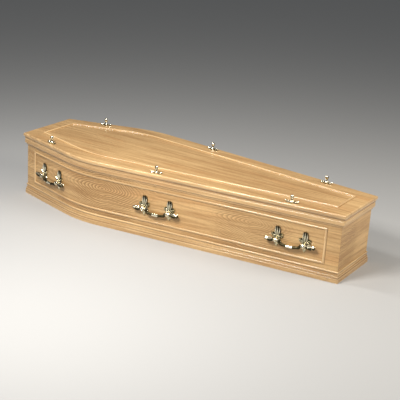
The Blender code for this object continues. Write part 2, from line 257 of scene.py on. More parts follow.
@dataclass(frozen=True)
class Layer:
    """One noise over a board, in cycles a metre, and the ramp that makes a mask of it."""

    along: float
    across: float
    seed: float
    detail: float = 2.0
    roughness: float = 0.5
    ramp: Ramp = Ramp()

    def over(self, graph: Graph, along: Value, across: Value) -> Value:
        """The noise at a place on the board, between 0 and 1."""
        place = graph.vector(along * self.along, across * self.across, self.seed)
        return graph.noise(place, self.detail, self.roughness)


@dataclass(frozen=True)
class OakFinish:
    """Lacquered oak: rings, streaks, fibres and pores along U, a painted highlight on crests and painted
    shade in quirks.
    """

    name: str
    heart: Heart
    pale: Colour = (0.79, 0.522, 0.243)
    deep: Colour = (0.36, 0.178, 0.058)
    rosy: Colour = (0.66, 0.30, 0.10)
    # Painted highlight: a pale colour laid on crests and arrises, where the gloss would catch the light.
    worn: Colour = (0.90, 0.69, 0.40)
    ring_width: float = 0.0078
    ring_strength: float = 0.85
    ring_shade: float = 0.52
    ring_power: float = 1.3
    ring_edge: float = 0.15
    roundness: float = 1.5
    sway: float = 0.030
    ripple: float = 0.018
    drift: float = 0.05
    lean: float = 0.15
    slow: Layer = Layer(3.4, 9.0, 3.0)
    quick: Layer = Layer(13.0, 30.0, 9.0)
    tone: Layer = Layer(1.3, 26.0, 1.0, 4.0, 0.66, Ramp(0.40, 0.62, 0.36))
    broad: Layer = Layer(1.7, 8.0, 21.0, ramp=Ramp(0.35, 0.70, 0.24))
    cloud: Layer = Layer(2.6, 11.0, 13.0, ramp=Ramp(0.5, 0.75, 0.30))
    streak: Layer = Layer(3.0, 80.0, 17.0, 2.0, 0.6, Ramp(0.44, 0.62, 0.42))
    fibre: Layer = Layer(12.0, 330.0, 5.0, 3.0, 0.65, Ramp(0.45, 0.8, 0.35))
    dash: Layer = Layer(45.0, 950.0, 7.0, 1.0, ramp=Ramp(0.53, 0.64))
    wave_fade: Ramp = Ramp(0.15, 0.6, 0.65)
    foot_fade: Ramp = Ramp(0.20, 0.45, 0.3)
    # The crest ramp sets the painted highlight. The quirk ramp and the share of deep after it set painted
    # shade in quirks and along the line where a strip meets what carries it.
    crests: Ramp = Ramp(0.15, 0.8, 0.3)
    quirks: Ramp = Ramp(0.05, 0.9, 0.8)
    quirk_shade: float = 0.45
    pore_strength: float = 0.7
    pore_shade: float = 0.4
    pore_base: float = 0.3
    pore_depth: float = 0.8
    roughness: float = 0.36
    fibre_roughness: float = 0.12
    gloss: float = 0.2
    coat: float = 0.7
    coat_roughness: float = 0.11
    coat_ior: float = 1.7
    relief: float = 0.00003

    def rings(self, graph: Graph, along: Value, across: Value) -> Value:
        """How dark the rings are, from 0 to 1.

        The distance from the heart is (|across|^p + |depth|^p)^(1/p), with p the roundness and
        depth the slope times a sine wave along the board, both bent by noise. The fraction of
        the distance over the ring width is a saw, and (1 - saw)^ring_power, softened where the
        saw starts, is the darkness. It fades where the wave is high, away from the heart, and on
        the heart's foot side.

        Args:
            graph: the material's nodes.
            along: place along the grain in metres.
            across: place across the grain in metres.

        Returns:
            The darkness.
        """
        heart = self.heart
        slow = self.slow.over(graph, along, across)
        quick = self.quick.over(graph, along, across)
        bent = across - heart.across + (slow - 0.5) * self.sway + (quick - 0.5) * self.ripple
        turn = (along - heart.along + (slow - 0.5) * self.drift) * (math.pi / heart.period)
        opening = (turn * 2.0).sine() * self.lean + 1.0
        wave = turn.sine()
        depth = wave * opening * (heart.slope * heart.period / math.pi)
        half = self.roundness / 2
        distance = ((bent * bent) ** half + (depth * depth) ** half) ** (1 / self.roundness)
        saw = (distance / self.ring_width).part()
        away = self.wave_fade.over(wave * wave)
        footward = self.foot_fade.over(along - heart.along)
        return (1.0 - saw) ** self.ring_power * saw.step(0.0, self.ring_edge) * (1.0 - away - footward)

    def material(self) -> bpy.types.Material:
        """Builds the shader: each colour is laid over those before it through its own mask.

        Returns:
            The material.
        """
        graph = Graph(bpy.data.materials.new(self.name))
        along, across, _ = graph.split(graph.node("ShaderNodeUVMap", {"uv_map": "grain"}, {}))
        hollow = graph.node("ShaderNodeAttribute", {"attribute_name": "hollow"}, {}, "Fac")
        early = self.rings(graph, along, across)
        tone, broad, cloud, streak, dash = (
            layer.ramp.over(layer.over(graph, along, across))
            for layer in (self.tone, self.broad, self.cloud, self.streak, self.dash)
        )
        fibre = self.fibre.over(graph, along, across)
        pores = dash * (early * (1 - self.pore_base) + self.pore_base)
        coats = (
            (self.deep, tone + broad),
            (self.rosy, cloud),
            (self.deep, streak),
            (darker(self.deep, self.ring_shade), early * self.ring_strength),
            (self.deep, self.fibre.ramp.over(fibre)),
            (darker(self.deep, self.pore_shade), pores * self.pore_strength),
            # Painted highlight on crests and arrises, then painted shade in quirks, both from the hollow
            # mask.
            (self.worn, self.crests.over(0.0 - hollow)),
            (darker(self.deep, self.quirk_shade), self.quirks.over(hollow)),
        )
        colour = self.pale
        for over, mask in coats:
            colour = graph.mix(colour, over, mask)
        finish = {
            "Base Color": colour,
            "Roughness": fibre * self.fibre_roughness + self.roughness,
            "Specular IOR Level": self.gloss,
            "Coat Weight": self.coat,
            "Coat Roughness": self.coat_roughness,
            "Coat IOR": self.coat_ior,
        }
        height = 1.0 - pores * self.pore_depth - fibre * (1 - self.pore_depth)
        return graph.dress(finish, height, self.relief)


@dataclass(frozen=True)
class BrassFinish:
    """Pale lacquered brass, darker through the hollow mask: dark patina with painted shade in hollows,
    painted shade underneath and a painted dark reflection on the bail's arms.
    """

    name: str
    bright: Colour
    # Dark colour laid through the hollow mask: patina, painted shade and a painted dark reflection.
    hollow: Colour
    roughness: float = 0.14
    hollow_roughness: float = 0.25
    mottle: float = 0.16
    mottle_roughness: float = 0.06
    mottles_a_metre: float = 120.0
    hollows: tuple[float, float] = (0.30, 0.95)
    relief: float = 0.00006

    def material(self) -> bpy.types.Material:
        """Builds the shader from the hollow mask that each casting carries.

        Returns:
            The material.
        """
        graph = Graph(bpy.data.materials.new(self.name))
        mask = graph.node("ShaderNodeAttribute", {"attribute_name": "hollow"}, {}, "Fac")
        place = graph.node("ShaderNodeTexCoord", {}, {}, "Object")
        sizes = {0: place, "Scale": self.mottles_a_metre}
        cloud = graph.noise(graph.node("ShaderNodeVectorMath", {"operation": "SCALE"}, sizes), 3.0)
        # Patina and painted shade from the hollow mask, with random mottle; it also roughens the surface.
        patina_and_painted_shade = mask.step(*self.hollows) + (cloud - 0.5) * self.mottle
        finish = {
            "Base Color": graph.mix(self.bright, self.hollow, patina_and_painted_shade),
            "Metallic": 1.0,
            "Roughness": patina_and_painted_shade * self.hollow_roughness + cloud * self.mottle_roughness + self.roughness,
        }
        return graph.dress(finish, cloud, self.relief)


class Skin:
    """Gathers grids of points into one mesh with a UV map in metres and a hollow mask for painted shade,
    painted highlight and patina.
    """

    def __init__(self) -> None:
        self.points: list[np.ndarray] = []
        self.hollows: list[np.ndarray] = []
        self.faces: list[list[int]] = []
        self.corners: list[np.ndarray] = []
        self.total = 0

    def grid(self, points: np.ndarray, uv: np.ndarray, hollow: np.ndarray | None = None) -> int:
        """Adds a grid whose columns close on themselves, and returns its first index.

        Args:
            points: (rows, columns, 3) places.
            uv: (rows, columns + 1, 2) in metres, the last column where the first one closes.
            hollow: (rows, columns), 1 deep in a hollow and -1 on a crest, or None.

        Returns:
            The index of the grid's first point.
        """
        rows, columns = points.shape[:2]
        start = self.total
        index = start + np.arange(rows * columns).reshape(rows, columns)
        after = np.roll(index, -1, axis=1)
        quads = np.stack([index[:-1], after[:-1], after[1:], index[1:]], axis=-1)
        square = np.stack([uv[:-1, :-1], uv[:-1, 1:], uv[1:, 1:], uv[1:, :-1]], axis=2)
        self.points.append(points.reshape(-1, 3))
        self.hollows.append(np.zeros(rows * columns) if hollow is None else hollow.ravel())
        self.faces += quads.reshape(-1, 4).tolist()
        self.corners.append(square.reshape(-1, 2))
        self.total += rows * columns
        return start

    def cap(self, first: int, count: int, uv: np.ndarray) -> None:
        """Closes a ring of points with one flat face.

        Args:
            first: index of the ring's first point.
            count: how many points it has.
            uv: (count, 2) in metres.
        """
        self.faces.append(list(range(first, first + count)))
        self.corners.append(uv.reshape(-1, 2))

    def tube(self, points: np.ndarray, uv: np.ndarray, hollow: np.ndarray | None = None,
             cap_uv: np.ndarray | None = None) -> None:
        """Adds a closed tube: a grid of rings with a flat face over each end.

        Args:
            points: (rows, columns, 3) places.
            uv: (rows, columns + 1, 2) in metres.
            hollow: (rows, columns), as for a grid.
            cap_uv: (rows, columns, 2) UVs that the two end faces read, or None for uv.
        """
        rows, columns = points.shape[:2]
        start = self.grid(points, uv, hollow)
        flat = uv[:, :-1] if cap_uv is None else cap_uv
        self.cap(start, columns, flat[0])
        self.cap(start + (rows - 1) * columns, columns, flat[-1])

    def mesh(self, name: str, sharp: float = 32.0) -> bpy.types.Mesh:
        """Makes the mesh, with its faces turned outwards.

        Args:
            name: the mesh's name.
            sharp: edges above this angle in degrees stay crisp.

        Returns:
            The mesh.
        """
        made = bpy.data.meshes.new(name)
        made.from_pydata(np.concatenate(self.points).tolist(), [], self.faces)
        layer = made.uv_layers.new(name="grain")
        layer.data.foreach_set("uv", np.concatenate(self.corners).astype(np.float32).ravel())
        # The hollow mask: painted shade and painted highlight on the oak; patina, painted shade and a painted
        # dark reflection on the brass.
        mask = made.attributes.new("hollow", "FLOAT", "POINT")
        mask.data.foreach_set("value", np.concatenate(self.hollows).astype(np.float32))
        shell = bmesh.new()
        shell.from_mesh(made)
        bmesh.ops.recalc_face_normals(shell, faces=shell.faces)
        shell.to_mesh(made)
        shell.free()
        made.shade_smooth()
        made.set_sharp_from_angle(angle=math.radians(sharp))
        return made


def into_scene(name: str, data: bpy.types.ID) -> bpy.types.Object:
    """Makes an object of some data and links it to the scene.

    Args:
        name: the object's name.
        data: its mesh, light or camera.

    Returns:
        The object.
    """
    made = bpy.data.objects.new(name, data)
    bpy.context.scene.collection.objects.link(made)
    return made


@dataclass
class Workshop:
    """Puts finished pieces into the scene and keeps count of them."""

    oak: dict[str, bpy.types.Material] = field(default_factory=dict)
    made: int = 0

    def finish(self, mesh: bpy.types.Mesh, material: bpy.types.Material, node: str, slot: str,
               body: str = ROOT_BODY) -> bpy.types.Object:
        """Adds a piece in place of a node of the frame.

        Args:
            mesh: the piece's mesh, in its place.
            material: its finish.
            node: the node that it stands for.
            slot: the record's material slot; not used.
            body: the body that it rides on.

        Returns:
            The piece.
        """
        mesh.materials.append(material)
        piece = into_scene(f"fine_{node}", mesh)
        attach(piece, body)
        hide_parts(node)
        self.made += 1
        LOG.info("%s on %s, %d faces", piece.name, body, len(mesh.polygons))
        return piece


def arc(centre: Sequence[float], radii: Sequence[float], first: float, last: float,
        steps: int) -> np.ndarray:
    """Points on an ellipse: centre + (radius_out cos a, radius_z sin a), a in degrees."""
    angle = np.radians(np.linspace(first, last, steps + 1))
    return np.stack([centre[0] + radii[0] * np.cos(angle), centre[1] + radii[1] * np.sin(angle)], axis=1)


def softened(corners: Sequence[Sequence[float]], guard: float = 0.0005, steps: int = 5) -> np.ndarray:
    """Rounds the corners of a closed section.

    Each corner (out, z, radius) becomes an arc that is tangent to both of its edges, with a
    point a little beyond each end of it, so that the flats between arcs shade flat.

    Args:
        corners: (out, z, radius) round the section; radius 0 leaves a point as it is.
        guard: distance from an arc's end to the point beyond it.
        steps: segments in each arc.

    Returns:
        (points, 2) section.
    """
    spots = np.array([corner[:2] for corner in corners], dtype=float)
    section = []
    for index, (corner, here) in enumerate(zip(corners, spots)):
        back = spots[index - 1] - here
        ahead = spots[(index + 1) % len(spots)] - here
        back_length, ahead_length = np.linalg.norm(back), np.linalg.norm(ahead)
        if 0 in (corner[2], back_length, ahead_length):
            section.append(here[None])
            continue
        back, ahead = back / back_length, ahead / ahead_length
        half = math.acos(float(np.clip(back @ ahead, -1, 1))) / 2
        reach = min(corner[2] / math.tan(half), 0.45 * back_length, 0.45 * ahead_length)
        radius = reach * math.tan(half)
        middle = here + (back + ahead) / np.linalg.norm(back + ahead) * (radius / math.sin(half))
        turn = np.linspace(0, 1, steps + 1)[:, None]
        from_back, from_ahead = here + back * reach - middle, here + ahead * reach - middle
        chord = from_back * (1 - turn) + from_ahead * turn
        rounded = middle + chord / np.linalg.norm(chord, axis=1, keepdims=True) * radius
        section.append((here + back * min(reach + guard, back_length * 0.49))[None])
        section.append(rounded)
        section.append((here + ahead * min(reach + guard, ahead_length * 0.49))[None])
    return np.concatenate(section)


@dataclass(frozen=True)
class Plan:
    """Plan of the box over the outer faces of its boards."""

    length: float = 1.940
    head_width: float = 0.372
    foot_width: float = 0.339
    shoulder_width: float = 0.667
    shoulder_from_head: float = 0.490
    bend_radius: float = 0.600
    bend_steps: int = 26
    mitre_back: float = TOUCH_GAP / math.sqrt(2)

    @property
    def half_length(self) -> float:
        """From the middle to either end."""
        return self.length / 2

    @property
    def head_corner(self) -> np.ndarray:
        """Where the far side meets the head."""
        return np.array([-self.half_length, self.head_width / 2])

    @property
    def foot_corner(self) -> np.ndarray:
        """Where the far side meets the foot."""
        return np.array([self.half_length, self.foot_width / 2])

    @property
    def shoulder(self) -> np.ndarray:
        """Where the two straight runs of the far side would meet."""
        return np.array([self.shoulder_from_head - self.half_length, self.shoulder_width / 2])

    def run(self, end: End) -> tuple[np.ndarray, np.ndarray, np.ndarray]:
        """The far side's straight run at one end.

        Args:
            end: the end of the coffin.

        Returns:
            A point of the run, its direction towards the foot and its outward normal.
        """
        corners = (self.head_corner, self.shoulder, self.foot_corner)
        start, stop = corners[:2] if end is End.HEAD else corners[1:]
        along = (stop - start) / np.linalg.norm(stop - start)
        return start, along, np.array([-along[1], along[0]])

    def on_run(self, end: End, out: np.ndarray, x: np.ndarray) -> np.ndarray:
        """Points of a run moved outwards, at given x.

        Args:
            end: which run.
            out: (points,) distances outwards.
            x: (points,) places along X.

        Returns:
            (points, 2) plan points.
        """
        start, along, outward = self.run(end)
        out, x = np.broadcast_arrays(np.atleast_1d(out), np.atleast_1d(x))
        shifted = start + out[:, None] * outward
        return shifted + ((x - shifted[:, 0]) / along[0])[:, None] * along

    def side(self, out: np.ndarray, head_x: np.ndarray, foot_x: np.ndarray) -> np.ndarray:
        """The far side as rows of plan points: straight, round the bend, straight.

        A point of the bend is centre + (radius + out) * (cos a, sin a), with a turning from
        one run's normal to the other's.

        Args:
            out: (points,) distances outwards.
            head_x: (points,) where each line starts.
            foot_x: (points,) where each line stops.

        Returns:
            (stations, points, 2) plan points.
        """
        first, last = self.run(End.HEAD)[2], self.run(End.FOOT)[2]
        centre = self.shoulder - (first + last) * self.bend_radius / (1 + first @ last)
        turns = np.linspace(math.atan2(first[1], first[0]), math.atan2(last[1], last[0]), self.bend_steps + 1)
        arms = np.stack([np.cos(turns), np.sin(turns)], axis=1)
        bend = centre + (self.bend_radius + out)[None, :, None] * arms[:, None, :]
        head = self.on_run(End.HEAD, out, head_x)[None]
        foot = self.on_run(End.FOOT, out, foot_x)[None]
        return np.concatenate([head, bend, foot])


PLAN = Plan()


def lengths(points: np.ndarray) -> np.ndarray:
    """Distance along a row of points, starting at 0."""
    steps = np.linalg.norm(np.diff(points, axis=0), axis=1)
    return np.concatenate([[0.0], np.cumsum(steps)])


def raised(path: np.ndarray, z: np.ndarray) -> np.ndarray:
    """Plan points (rows, points, 2) with a height to each column, as (rows, points, 3)."""
    return np.concatenate([path, np.broadcast_to(z[None, :, None], (*path.shape[:2], 1))], axis=2)


def stretched_uv(rows: np.ndarray, section: np.ndarray, offset: Sequence[float]) -> np.ndarray:
    """UVs of a sweep: distance along it, and distance round its section.

    Args:
        rows: (rows,) distance along the sweep.
        section: (points, 2) section.
        offset: shift in metres, so that no two strips share their figure.

    Returns:
        (rows, points + 1, 2) UVs.
    """
    around = lengths(np.concatenate([section, section[:1]]))
    u, v = np.meshgrid(rows + offset[0], around + offset[1], indexing="ij")
    return np.stack([u, v], axis=-1)


def guarded(section: np.ndarray, gap: float = 0.0026) -> np.ndarray:
    """Adds a point near each end of every long flat, so that a mask stays beside its corner.

    Args:
        section: (points, 2 or more), closed; its first two columns are places.
        gap: distance of the new points from the corners.

    Returns:
        The same section with more points.
    """
    closed = np.concatenate([section, section[:1]])
    place = lengths(closed[:, :2])
    flat = np.diff(place) > 3 * gap
    extra = np.concatenate([place[:-1][flat] + gap, place[1:][flat] - gap])
    spots = np.sort(np.concatenate([place[:-1], extra]))
    return np.column_stack([np.interp(spots, place, line) for line in closed.T])


def quirks(section: np.ndarray, stand: np.ndarray | None = None, reach: float = 0.0022) -> np.ndarray:
    """How far each point of a section lies in a quirk, from 1 there to -1 on a crest.

    The measure is how far a point lies behind the middle of the two that are one reach before
    and after it round the section, over 0.3 of the reach. A point that stands less than
    0.0018 m off what the strip is fixed to is in the quirk beside it.

    Args:
        section: (points, 2), closed.
        stand: (points,) how far each point stands off what carries the strip, or None.
        reach: distance to the two neighbours.

    Returns:
        (points,) between -1 and 1.
    """
    # This measure drives painted shade in quirks and a painted highlight on crests.
    closed = np.concatenate([section, section[:1]])
    place = lengths(closed)
    before, after = (
        np.column_stack([np.interp((place[:-1] + shift) % place[-1], place, line) for line in closed.T])
        for shift in (-reach, reach)
    )
    ahead = after - before
    x, y = closed.T
    turn = np.sign(np.sum(x[:-1] * y[1:] - x[1:] * y[:-1]))
    outward = np.column_stack([ahead[:, 1], -ahead[:, 0]]) * turn
    outward /= np.maximum(np.linalg.norm(outward, axis=1, keepdims=True), 1e-9)
    behind = np.clip((((before + after) / 2 - section) * outward).sum(axis=1) / (0.3 * reach), -1, 1)
    close = 0.0 if stand is None else 1 - np.clip((stand - TOUCH_GAP) / 0.0018, 0, 1)
    return behind + close * (1 - behind)


def swept(points: np.ndarray, rows: np.ndarray, section: np.ndarray, stand: np.ndarray | None,
          grain: Sequence[float]) -> Skin:
    """A closed strip with its grain, painted shade in its quirks and a painted highlight on its crests.

    Args:
        points: (rows, points, 3) places.
        rows: (rows,) distance along the sweep.
        section: (points, 2) section.
        stand: (points,) how far each point stands off what carries the strip, or None.
        grain: where in the figure the strip starts.

    Returns:
        The strip.
    """
    skin = Skin()
    hollow = np.broadcast_to(quirks(section, stand), points.shape[:2])
    skin.tube(points, stretched_uv(rows, section, grain), hollow)
    return skin


@dataclass
class Strip:
    """A board or moulding of one section, mitred to its neighbours."""

    section: np.ndarray
    shift: float = 0.0
    grain: Sequence[float] = (0.0, 0.0)
    stand: np.ndarray | None = None

    def __post_init__(self) -> None:
        """Guards the flats of the section."""
        if self.stand is None:
            self.section = guarded(self.section)
        else:
            dense = guarded(np.column_stack([self.section, self.stand]))
            self.section, self.stand = dense[:, :2], dense[:, 2]

    def along_side(self, side: Side) -> Skin:
        """The strip along a long side.

        Args:
            side: which side.

        Returns:
            The strip as a closed skin.
        """
        out, z = self.section.T
        reach = PLAN.half_length + out + self.shift - PLAN.mitre_back
        path = PLAN.side(out, -reach, reach)
        points = raised(path, z) * np.array([1, side.value, 1])
        rows = lengths(path[:, 0]) - PLAN.half_length
        return swept(points, rows, self.section, self.stand, self.grain)

    def across_end(self, end: End) -> Skin:
        """The strip across an end.

        Args:
            end: which end.

        Returns:
            The strip as a closed skin.
        """
        out, z = self.section.T
        x = end.value * (PLAN.half_length + out + self.shift)
        y = PLAN.on_run(end, out, x)[:, 1] - PLAN.mitre_back
        points = np.stack([np.stack([x, side.value * y, z], axis=1) for side in Side])
        return swept(points, np.array([-y[0], y[0]]), self.section, self.stand, self.grain)


@dataclass
class Boards:
    """The bare box: base, two bent sides and two ends."""

    thickness: float = 0.018
    arris: float = 0.0008
    side_grain: float = 5.3
    end_grain: tuple[float, float] = (11.0, 3.1)

    def section(self) -> np.ndarray:
        """The wall's section, outer face first so that V rises up it.

        Returns:
            (points, 2) of distance outwards and height.
        """
        low, high = (item[2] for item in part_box("side_board_near"))
        inner = -self.thickness
        return softened([(0, low, 0), (0, high, self.arris), (inner, high, self.arris), (inner, low, 0)])

    def build(self, shop: Workshop) -> None:
        """Makes the walls and dresses the base.

        Args:
            shop: where the pieces go.
        """
        for count, side in enumerate(Side):
            strip = Strip(self.section(), grain=(self.side_grain * count, 0.0))
            mesh = strip.along_side(side).mesh("side_board")
            shop.finish(mesh, shop.oak["side"], f"side_board_{side.label}", "oak_veneer")
        for count, end in enumerate(End):
            strip = Strip(self.section(), grain=(self.end_grain[0] + self.end_grain[1] * count, 0.0))
            mesh = strip.across_end(end).mesh("end_board")
            shop.finish(mesh, shop.oak["end"], f"end_board_{end.label}", "oak_veneer")
        shop.finish(self.base(), shop.oak["side"], "base_board", "oak_veneer")

    def base(self) -> bpy.types.Mesh:
        """The base board, an outline inside the walls carried up its thickness.

        Returns:
            The board's mesh.
        """
        levels = np.array([item[2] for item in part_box("base_board")])
        inset = np.full(2, -self.thickness - TOUCH_GAP)
        return outline_solid(inset, levels, "base_board")


def outline_solid(out: np.ndarray, z: np.ndarray, name: str) -> bpy.types.Mesh:
    """A board of the box's plan: each level is the outline moved outwards by its own amount.

    Args:
        out: (levels,) distances outwards.
        z: (levels,) heights.
        name: the mesh's name.

    Returns:
        The closed mesh, with U along X and V along Y on its faces.
    """
    reach = PLAN.half_length + out
    far = PLAN.side(out, -reach, reach)
    near = far[::-1] * np.array([1, -1])
    loop = np.concatenate([far, near])
    points = raised(loop, z).transpose(1, 0, 2)
    edge = lengths(np.stack([out, z], axis=1))
    plan_uv = points[..., :2]
    closing = np.concatenate([plan_uv, plan_uv[:, :1]], axis=1)
    closing[..., 1] += edge[:, None] * np.sign(closing[..., 1])
    inwards = 0.05
    inner = np.array([[out[-1] - inwards, z[-1]], [out[0] - inwards, z[0]]])
    # The edge's hollow mask: a painted highlight on its rounds and painted shade in its quirks.
    hollow = quirks(np.concatenate([np.column_stack([out, z]), inner]))[:-2]
    skin = Skin()
    skin.tube(points, closing, np.broadcast_to(hollow[:, None], points.shape[:2]), closing[:, :-1])
    return skin.mesh(name)


@dataclass
class Mouldings:
    """Plinth and top moulding, four mitred strips each."""

    depth: float = 0.010
    flat: float = 0.021
    step_depth: float = 0.0075
    step_top: float = 0.033
    neck: float = 0.0028
    bead: float = 0.0055
    under_bead: float = 0.002
    arris: float = 0.0006
    foot_arris: float = 0.0012
    step_arris: float = 0.0007
    shoulder: float = 0.004
    face: float = 0.016
    foot: float = 0.005
    guard: float = 0.0005

    def plinth(self) -> np.ndarray:
        """Flat foot, a step, a cove up to the neck and a bead along the top edge.

        Returns:
            (points, 2) of distance outwards and height.
        """
        low, high = (item[2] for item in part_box("plinth_near"))
        bead_middle = (self.neck - self.bead / 2, high - self.bead)
        cove_top = bead_middle[1] - self.bead - self.under_bead
        cove_size = (self.step_depth - self.neck, cove_top - self.step_top)
        cove = arc((self.step_depth, cove_top), cove_size, -90, -180, 9)
        bead = arc(bead_middle, (self.bead, self.bead), -58, 62, 14)
        foot = softened([
            (TOUCH_GAP, low, 0),
            (self.depth, low, self.arris),
            (self.depth, self.flat, self.foot_arris),
            (self.step_depth, self.flat + self.depth - self.step_depth, self.arris),
            (self.step_depth, self.step_top, self.step_arris),
            (self.step_depth - self.arris, self.step_top, 0),
        ])
        return np.concatenate([foot, cove[1:], bead, [[TOUCH_GAP, high]]])

    def top(self) -> np.ndarray:
        """A rounded shoulder, a flat face and a cove down to a thin foot.

        Returns:
            (points, 2) of distance outwards and height.
        """
        low, high = (item[2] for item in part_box("top_moulding_near"))
        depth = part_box("top_moulding_foot")[1][0] - PLAN.half_length
        face_low = high - self.shoulder - self.face
        shoulder = arc((depth - self.shoulder, high - self.shoulder), (self.shoulder,) * 2, 90, 0, 8)
        cove = arc((depth, low), (depth - self.foot, face_low - low), 90, 180, 10)
        guard = [[depth, high - self.shoulder - self.guard], [depth, face_low + self.guard]]
        return np.concatenate([[[TOUCH_GAP, high]], shoulder, guard, cove, [[TOUCH_GAP, low]]])

    def build(self, shop: Workshop) -> None:
        """Makes both rings of strips.

        Args:
            shop: where the pieces go.
        """
        for name, section, offset in (("plinth", self.plinth(), 20.0), ("top_moulding", self.top(), 31.0)):
            ring(shop, name, Strip(section, stand=section[:, 0]), offset)


def ring(shop: Workshop, name: str, strip: Strip, offset: float) -> None:
    """Four mitred strips of one section round the coffin, each with its own stretch of grain.

    Args:
        shop: where the pieces go.
        name: the nodes' name.
        strip: the section.
        offset: where in the figure the first strip starts.
    """
    next_side, first_end, next_end = np.array([4.7, 0.21]), np.array([12.0, 0.0]), np.array([1.3, 0.13])
    start = np.array([offset, 0.0])
    for count, side in enumerate(Side):
        strip.grain = start + next_side * count
        mesh = strip.along_side(side).mesh(name)
        shop.finish(mesh, shop.oak["moulding"], f"{name}_{side.label}", "oak_moulding")
    for count, end in enumerate(End):
        strip.grain = start + first_end + next_end * count
        mesh = strip.across_end(end).mesh(name)
        shop.finish(mesh, shop.oak["moulding"], f"{name}_{end.label}", "oak_moulding")


@dataclass
class Bead:
    """A half-round bead strip."""

    width: float = 0.013
    rise: float = 0.006
    fillet: float = 0.0006
    steps: int = 14

    def section(self) -> np.ndarray:
        """Half an ellipse standing on a thin fillet.

        Returns:
            (points, 2) of distance across and rise, over the round.
        """
        half = self.width / 2
        radii = (half - self.fillet, self.rise - self.fillet)
        round_over = arc((half, self.fillet), radii, 180, 0, self.steps)
        return np.concatenate([[[0, 0]], round_over, [[self.width, 0]]]) + np.array([0, TOUCH_GAP])


@dataclass
class PanelFrames:
    """The bead that frames the panel on each long side."""

    bead: Bead = field(default_factory=Bead)
    from_head: float = 0.070
    from_foot: float = 0.070
    long_grain: float = 0.02
    short_grain: float = 0.05

    def build(self, shop: Workshop) -> None:
        """Makes the eight strips.

        Args:
            shop: where the pieces go.
        """
        for count, side in enumerate(Side):
            for edge in ("top", "bottom"):
                self.long_strip(shop, side, edge, 50.0 + 7.0 * count)
            for end in End:
                self.short_strip(shop, side, end, 70.0 + 7.0 * count)

    def corner(self, end: End) -> np.ndarray:
        """The panel's outer corner on the far side's outer face."""
        inset = self.from_head if end is End.HEAD else self.from_foot
        return PLAN.on_run(end, 0.0, end.value * (PLAN.half_length - inset))[0]

    def level(self, side: Side, edge: str) -> tuple[float, int]:
        """A long strip's outer edge, and the way in from it."""
        low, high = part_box(f"panel_bead_{side.label}_{edge}")
        return (high[2], -1) if edge == "top" else (low[2], 1)

    def long_strip(self, shop: Workshop, side: Side, edge: str, offset: float) -> None:
        """One strip along the side, each line of its section ending on the mitre.

        Args:
            shop: where the piece goes.
            side: which side.
            edge: top or bottom.
            offset: where in the figure it starts.
        """
        across, rise = self.bead.section().T
        z_edge, inward = self.level(side, edge)
        stops = []
        for end in End:
            _, along, outward = PLAN.run(end)
            inset = end.value * along[0] * (across + PLAN.mitre_back)
            stops.append(self.corner(end)[0] - inset + outward[0] * rise)
        path = PLAN.side(rise, stops[0], stops[1])
        points = raised(path, z_edge + inward * across) * np.array([1, side.value, 1])
        skin = swept(points, lengths(path[:, 0]), self.bead.section(), rise, (offset, self.long_grain))
        name = f"panel_bead_{side.label}_{edge}"
        shop.finish(skin.mesh(name), shop.oak["moulding"], name, "oak_moulding")

    def short_strip(self, shop: Workshop, side: Side, end: End, offset: float) -> None:
        """One upright strip, mitred at the top and bottom.

        Args:
            shop: where the piece goes.
            side: which side.
            end: which end of the panel.
            offset: where in the figure it starts.
        """
        across, rise = self.bead.section().T
        _, along, outward = PLAN.run(end)
        plan = self.corner(end) - end.value * across[:, None] * along + rise[:, None] * outward
        rows = []
        for edge in ("bottom", "top"):
            z_edge, inward = self.level(side, edge)
            z = z_edge + inward * (across + PLAN.mitre_back)
            rows.append(np.column_stack([plan[:, 0], side.value * plan[:, 1], z]))
        points = np.stack(rows)
        skin = swept(points, points[:, 0, 2], self.bead.section(), rise, (offset, self.short_grain))
        name = f"panel_bead_{side.label}_{end.label}"
        shop.finish(skin.mesh(name), shop.oak["moulding"], name, "oak_moulding")


@dataclass
class Lid:
    """The lid: board, strips under its rim and the bead on its top."""

    overhang: float = 0.020
    top_round: float = 0.007
    under_round: float = 0.003
    drop_setback: float = 0.0055
    drop_play: float = 0.002
    drop_cove: float = 0.004
    bead_from_side: float = 0.100
    bead_from_end: float = 0.087
    guard: float = 0.0030
    bead: Bead = field(default_factory=Bead)

    def board(self) -> bpy.types.Mesh:
        """The board: flat underside, small lower round, nose, large upper round, flat top.

        Returns:
            The board's mesh.
        """
        low, high = (item[2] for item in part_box("lid_board"))
        small, large = self.under_round, self.top_round
        under = arc((self.overhang - small, low + small), (small, small), -90, 0, 5)
        over = arc((self.overhang - large, high - large), (large, large), 0, 90, 12)
        start = [[under[0, 0] - self.guard, low]]
        stop = [[over[-1, 0] - self.guard, high]]
        edge = np.concatenate([start, under, over, stop])
        return outline_solid(edge[:, 0], edge[:, 1], "lid_board")

    def drop(self) -> np.ndarray:
        """A fillet under the rim and a shallow cove below it.

        Returns:
            (points, 2) of distance outwards and height.
        """
        low, high = (item[2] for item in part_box("lid_drop_near"))
        out = self.overhang - self.drop_setback
        half = self.drop_cove / 2
        inner = out - half
        return softened([
            (self.drop_play, high, 0),
            (out, high, 0),
            (out, high - self.drop_cove, 0.0008),
            (inner, high - self.drop_cove - half, 0.001),
            (inner, low + half, 0.0015),
            (inner - half, low, 0.0006),
            (self.drop_play, low, 0),
        ])

    def build(self, shop: Workshop) -> None:
        """Makes the board, the strips and the bead.

        Args:
            shop: where the pieces go.
        """
        shop.finish(self.board(), shop.oak["lid"], "lid_board", "oak_veneer")
        ring(shop, "lid_drop", Strip(self.drop()), 90.0)
        across, rise = self.bead.section().T
        middle = self.overhang - self.bead_from_side
        section = np.column_stack([middle + self.bead.width / 2 - across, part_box("lid_board")[1][2] + rise])
        strip = Strip(section, shift=self.bead_from_side - self.bead_from_end, stand=rise)
        ring(shop, "lid_bead", strip, 110.0)


